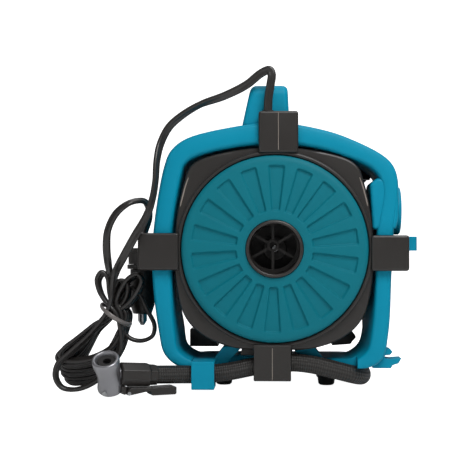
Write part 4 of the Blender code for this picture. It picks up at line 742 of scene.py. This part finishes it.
# ---------- blocks behind the housing ----------
spots = [(-60.5, -57.0), (-46.0, -57.0), (-40.0, -69.5), (-60.5, -69.5)]
block("Rear_block_left", "black_abs", 64, 14, 0.0008, spots)
spots = [(44.0, -55.0), (52.0, -55.0), (57.0, -61.5), (53.5, -67.5), (40.0, -68.5)]
block("Rear_block_right", "black_abs", 64, 14, 0.0008, spots)
spots = [(50.0, 50.0), (66.5, 48.0), (67.5, 52.5), (58.0, 59.5), (48.0, 61.0)]
block("Rear_block_top", "black_abs", 56, 8, 0.0008, spots)
spots = [
    (63.8, 12.5), (79.0, 12.5), (80.6, 20.0), (80.8, 34.0), (80.0, 43.0), (67.0, 46.6), (62.0, 42.5),
    (62.9, 30.0),
]
block("Gauge_pod_body", "teal_abs", 3.6, 34, 0.0022, spots)
spots = [(-43.0, -76.5), (-34.2, -65.0), (-21.5, -65.0), (-28.5, -72.6), (-31.8, -76.5)]
block("Gusset_left", "teal_abs", 16.4, 20, 0.0006, spots)
spots = [(-21.0, -62.0), (11.0, -62.0), (12.0, -71.0), (-23.0, -71.0)]
block("Arm_foot", "black_abs", 17, 20, 0.0006, spots)
spots = [(13.0, -67.6), (25.5, -64.4), (32.4, -72.6), (34.5, -76.5), (24.0, -76.5)]
block("Gusset_right", "teal_abs", 16.4, 20, 0.0006, spots)

# ---------- ribbed cover ----------
PROFILE = [
    (18.9, -5.4), (22, -5.35), (30, -5.15), (40, -4.8), (50, -4.25), (57.4, -3.7), (59.0, -3.2),
    (60.0, -2.5), (60.6, -1.6), (60.8, -0.6),
]
RIBS = 18


def swell(r):
    """Depth of the cover's plain surface at radius r, in mm."""
    for (r0, y0), (r1, y1) in zip(PROFILE, PROFILE[1:]):
        if r <= r1:
            return y0 + (y1 - y0) * (r - r0) / (r1 - r0)
    return PROFILE[-1][1]


# Each sunk wedge: where its middle is, how far it reaches, and its half width at either end.
WEDGE_MIDDLE, WEDGE_REACH = 39.5, 14.8
WEDGE_NARROW, WEDGE_WIDE = 2.7, 5.4
WEDGE_CORNER, WEDGE_DEPTH, WEDGE_WALL = 1.3, 1.75, 1.5
WEDGE_TURN = 0.026


def sunk(r, a):
    """How far the surface drops at radius r and angle a: rounded wedges with soft walls."""
    off = ((a - WEDGE_TURN) / (math.tau / RIBS) + 0.5) % 1.0 - 0.5
    aside = abs(off) * math.tau / RIBS * r
    along = (r - (WEDGE_MIDDLE - WEDGE_REACH)) / (2 * WEDGE_REACH)
    half = WEDGE_NARROW + (WEDGE_WIDE - WEDGE_NARROW) * along
    dx = aside - (half - WEDGE_CORNER)
    dr = abs(r - WEDGE_MIDDLE) - (WEDGE_REACH - WEDGE_CORNER)
    gap = math.hypot(max(dx, 0), max(dr, 0)) + min(max(dx, dr), 0) - WEDGE_CORNER
    t = min(1.0, max(0.0, 0.3 - gap / WEDGE_WALL))
    return WEDGE_DEPTH * t * t * (3 - 2 * t)


# Rings lie close together where the wedges begin and end, and round the cover's two edges.
radii = [18.9, 19.6, 21.5, 23.2]
radii += [24.0 + 0.25 * i for i in range(10)]
radii += [26.8 + 0.95 * i for i in range(27)]
radii += [52.4 + 0.25 * i for i in range(12)]
radii += [56.2, 57.4, 58.3, 59.0, 59.6, 60.0, 60.35, 60.6, 60.75, 60.8]
COVER_STEPS = 1080
COVER_BACK = 5.0
rings = []
for r in radii:
    ring = []
    for a in angles(COVER_STEPS):
        ring.append(mm(r * math.sin(a), swell(r) + sunk(r, a), r * math.cos(a)))
    rings.append(ring)
for r in (radii[-1], radii[0]):
    rings.append([mm(r * math.sin(a), COVER_BACK, r * math.cos(a)) for a in angles(COVER_STEPS)])
points, faces = skin(rings, closed=True)
lid = build("Ribbed_cover", points, faces, "cover_teal_abs")
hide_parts("front_cover")

collar = [
    (0.0163, 0.0137), (0.0163, -0.0060), (0.0166, -0.0069), (0.0172, -0.0072), (0.0178, -0.0072),
    (0.0184, -0.0068), (0.0186, -0.0060), (0.0186, 0.0137),
]
port = turned("Port_collar", collar, AXIS, Y, "black_abs", 120)
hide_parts("port_collar")

# ---------- hose ----------
HOSE = [
    (60.5, 124.5, -40), (63, 124.5, -40), (66.8, 124.5, -42), (70.6, 124.2, -46.5), (71.8, 122.2, -57),
    (70.6, 116.5, -73), (65, 106, -84.8), (61, 85, -85.2), (59.8, 60, -85), (59.2, 35, -84.8),
    (57, 21, -84.5), (50, 11.2, -82.2), (38, 8.8, -79), (25, 8.8, -76), (12, 9, -74.7), (-2, 9, -75.7),
    (-14, 9, -77.5), (-30, 8.4, -80.6), (-46.5, 6.6, -82.2), (-63, 0.5, -81.8), (-78.2, -6.3, -81.2),
]


HOSE_RADIUS = 0.0059
HOSE_SIDES = 40


def swept(name, path, radius, slot):
    """A round tube with its length and girth in metres as its flat coordinates."""
    rings, uv, travelled = [], [], 0.0
    side = None
    for i, p in enumerate(path):
        ahead = (path[min(i + 1, len(path) - 1)] - path[max(i - 1, 0)]).normalized()
        side = (side - ahead * side.dot(ahead)).normalized() if side else ahead.orthogonal().normalized()
        other = ahead.cross(side)
        if i:
            travelled += (p - path[i - 1]).length
        rings.append(round_line(p, side, other, radius, radius, HOSE_SIDES))
        uv += [(travelled, radius * a) for a in angles(HOSE_SIDES)]
    points, faces = skin(rings)
    return build(name, points, faces, slot, uv=uv)


hose_line = curved([mm(x, y, z) for x, y, z in HOSE], 14)
hose = swept("Tyre_hose", hose_line, HOSE_RADIUS, "braided_rubber")
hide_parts("air_hose")

# ---------- lever chuck ----------
# The chuck lies turned towards the front, with its mouth tipped the same way.
yaw, tilt = math.radians(24), math.radians(34)
hose_out = Vector((-math.cos(yaw), -math.sin(yaw), 0))
centre = mm(*HOSE[-1]) + hose_out * 0.030 + Z * 0.0018
up = Vector((-0.07, -math.sin(tilt), math.cos(tilt))).normalized()
bell = [
    (0.0, -12.6), (7.4, -12.6), (8.2, -12.2), (8.7, -11.4), (8.8, -10.2), (8.5, -8.6), (7.9, -6.4),
    (7.5, -3.5), (7.4, -0.5), (7.6, 2.4), (8.1, 5.0), (8.6, 7.4), (8.8, 9.4), (8.8, 11.6), (8.5, 12.2),
    (7.9, 12.5), (7.2, 12.5), (6.7, 12.2), (6.3, 11.2), (5.9, 9.4), (4.6, 7.8), (4.2, 7.4), (4.2, -9.0),
    (0.0, -9.0),
]
chuck = turned("Chuck_body", [(r * MM, h * MM) for r, h in bell], centre, up, "zinc_alloy", 72)
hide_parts("chuck_body")
window = round_line(mm(-107.8, -34, -91.5), X, Z, 0.0027, 0.0016, 28)
cut(chuck, tool(window, Y * 0.013))
stem = [(0.0, 0.0), (0.0040, 0.0), (0.0040, 0.0066), (0.0, 0.0066)]
turned("Chuck_stem", stem, centre - hose_out * 0.0134, hose_out, "zinc_alloy", 32)
pin = [(0.0, 0.0), (0.0013, 0.0), (0.0016, 0.0004), (0.0016, 0.004), (0.0, 0.004)]
turned("Chuck_pin", pin, mm(-107.8, -21.5, -91.7), Y, "zinc_alloy", 24, STEEL)

# The grip's eight-sided section, as how far back from the chuck and how large.
GRIP = [
    (7.4, 0.80), (8.0, 0.93), (9.2, 1.0), (25.6, 1.0), (26.4, 0.95), (26.9, 0.90), (31.2, 0.87),
    (31.6, 0.83),
]
sleeve = []
for u, size in GRIP:
    ring = []
    for i in range(8):
        a = math.pi / 8 + i * math.pi / 4
        across = hose_out.cross(Z) * math.cos(a) * 8.1 * size * MM
        # The grip droops by 1.8 mm over a length of 30.
        upward = Z * (math.sin(a) * 7.9 * size - 1.8 * u / 30) * MM
        ring.append(centre - hose_out * u * MM + across + upward)
    sleeve.append(ring)
points, faces = skin(sleeve)
grip = build("Hose_grip", points, faces, "black_abs", bevel=0.0005)
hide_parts("hose_grip")

# Both outlines are how far back from the chuck's axis and how high from the fan axis, in mm.
PADDLE = [
    (10.9, -90.8), (12.6, -89.0), (14.0, -88.4), (26.4, -89.0), (43.2, -88.7), (44.0, -89.4),
    (44.0, -93.2), (43.2, -94.0), (27.8, -94.0), (27.0, -93.3), (26.6, -91.0), (14.0, -93.0),
    (11.7, -93.2), (10.9, -92.4),
]
LUG = [(7.6, -87.4), (10.6, -87.4), (10.6, -92.2), (9.8, -92.8), (7.6, -92.0)]
hub = Vector((centre.x, centre.y, AXIS.z))


def lever_part(name, spots, half, bevel, body):
    """A flat part in the plane of the chuck and the hose, as wide as half to either side."""
    outline = [hub - hose_out * u * MM + Z * v * MM for u, v in spots]
    aside = hose_out.cross(Z) * half
    return prism(name, outline, -aside, aside, "black_abs", bevel, body)


lever_part("Lever_lug", LUG, 0.0045, 0.0004, ROOT)
thumb = lever_part("Chuck_lever", PADDLE, 0.0055, 0.0007, "lever")
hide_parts("chuck_lever")

# ---------- every other part keeps its own mesh ----------
slots = {s["node"]: s["material_slot"] for s in frame["record"]["subparts"]}
# Edges that are rounded more broadly than the plain 0.3 mm.
BROAD = {
    "hose_clip": 0.0012,
    "rear_housing": 0.0010,
    "rear_cover": 0.0008,
    "mode_knob": 0.0012,
    "switch_box": 0.0008,
}
for name, piece in frame["nodes"].items():
    piece.data.materials.clear()
    piece.data.materials.append(OF_SLOT[slots[name]])
    dress(piece, BROAD.get(name, 0.0003))

# ---------- floor, light ----------
def plain(name, colour, glow):
    """A matt surface that looks white to the camera and gives off only the glow besides."""
    made, tree, shader, where = start(name)
    cloud = node(tree, "ShaderNodeTexNoise", None, Vector=where, Scale=6.0, Detail=2.0)
    tree.links.new(tinted(tree, cloud.outputs[0], rgb(colour), 0.005), shader.inputs["Base Color"])
    shader.inputs["Roughness"].default_value = 0.9
    shader.inputs["Emission Color"].default_value = rgb("FFFFFF")
    seen = node(tree, "ShaderNodeLightPath").outputs["Is Camera Ray"]
    tree.links.new(between(tree, seen, glow, 1.0), shader.inputs["Emission Strength"])
    return made


# The floor runs back, then curves up behind the pump.
BEND = 0.5
bend_line = []
for i in range(1, 13):
    a = math.pi / 2 * i / 12
    bend_line.append((0.9 + BEND * math.sin(a), BEND - BEND * math.cos(a)))
sweep = [(-1.6, 0.0), (0.9, 0.0)] + bend_line + [(1.4, 2.2)]
points = [Vector((x, y, z - 0.0004)) for y, z in sweep for x in (-2.2, 2.2)]
faces = [[2 * i, 2 * i + 1, 2 * i + 3, 2 * i + 2] for i in range(len(sweep) - 1)]
data = bpy.data.meshes.new("Backdrop")
data.from_pydata([tuple(p) for p in points], [], faces)
backdrop = placed("Backdrop", data)
data.materials.append(plain("matt white paper sweep", "F4F4F4", 0.03))
dress(backdrop, 0)
backdrop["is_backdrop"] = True

world = bpy.data.worlds.new("Studio")
bpy.context.scene.world = world
world.use_nodes = True
world.node_tree.nodes["Background"].inputs[0].default_value = (1, 1, 1, 1)
lit = world.node_tree.nodes["Background"].inputs[1]
seen = node(world.node_tree, "ShaderNodeLightPath").outputs["Is Camera Ray"]
world.node_tree.links.new(between(world.node_tree, seen, 0.12, 1.0), lit)


def lamp(name, place, size, power):
    """A square area lamp aimed at the fan axis."""
    light = bpy.data.lights.new(name, "AREA")
    light.size, light.energy = size, power
    made = placed(name, light)
    made.location = place
    made.rotation_euler = (AXIS - made.location).to_track_quat("-Z", "Y").to_euler()


lamp("Key", Vector((0.22, -0.55, 0.72)), 0.45, 5.6)
lamp("Fill", Vector((-0.9, -1.1, 0.3)), 0.9, 2.0)
lamp("Top", Vector((0.1, 0.3, 1.3)), 0.9, 4.6)

bpy.context.scene.view_settings.view_transform = "Standard"
low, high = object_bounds()
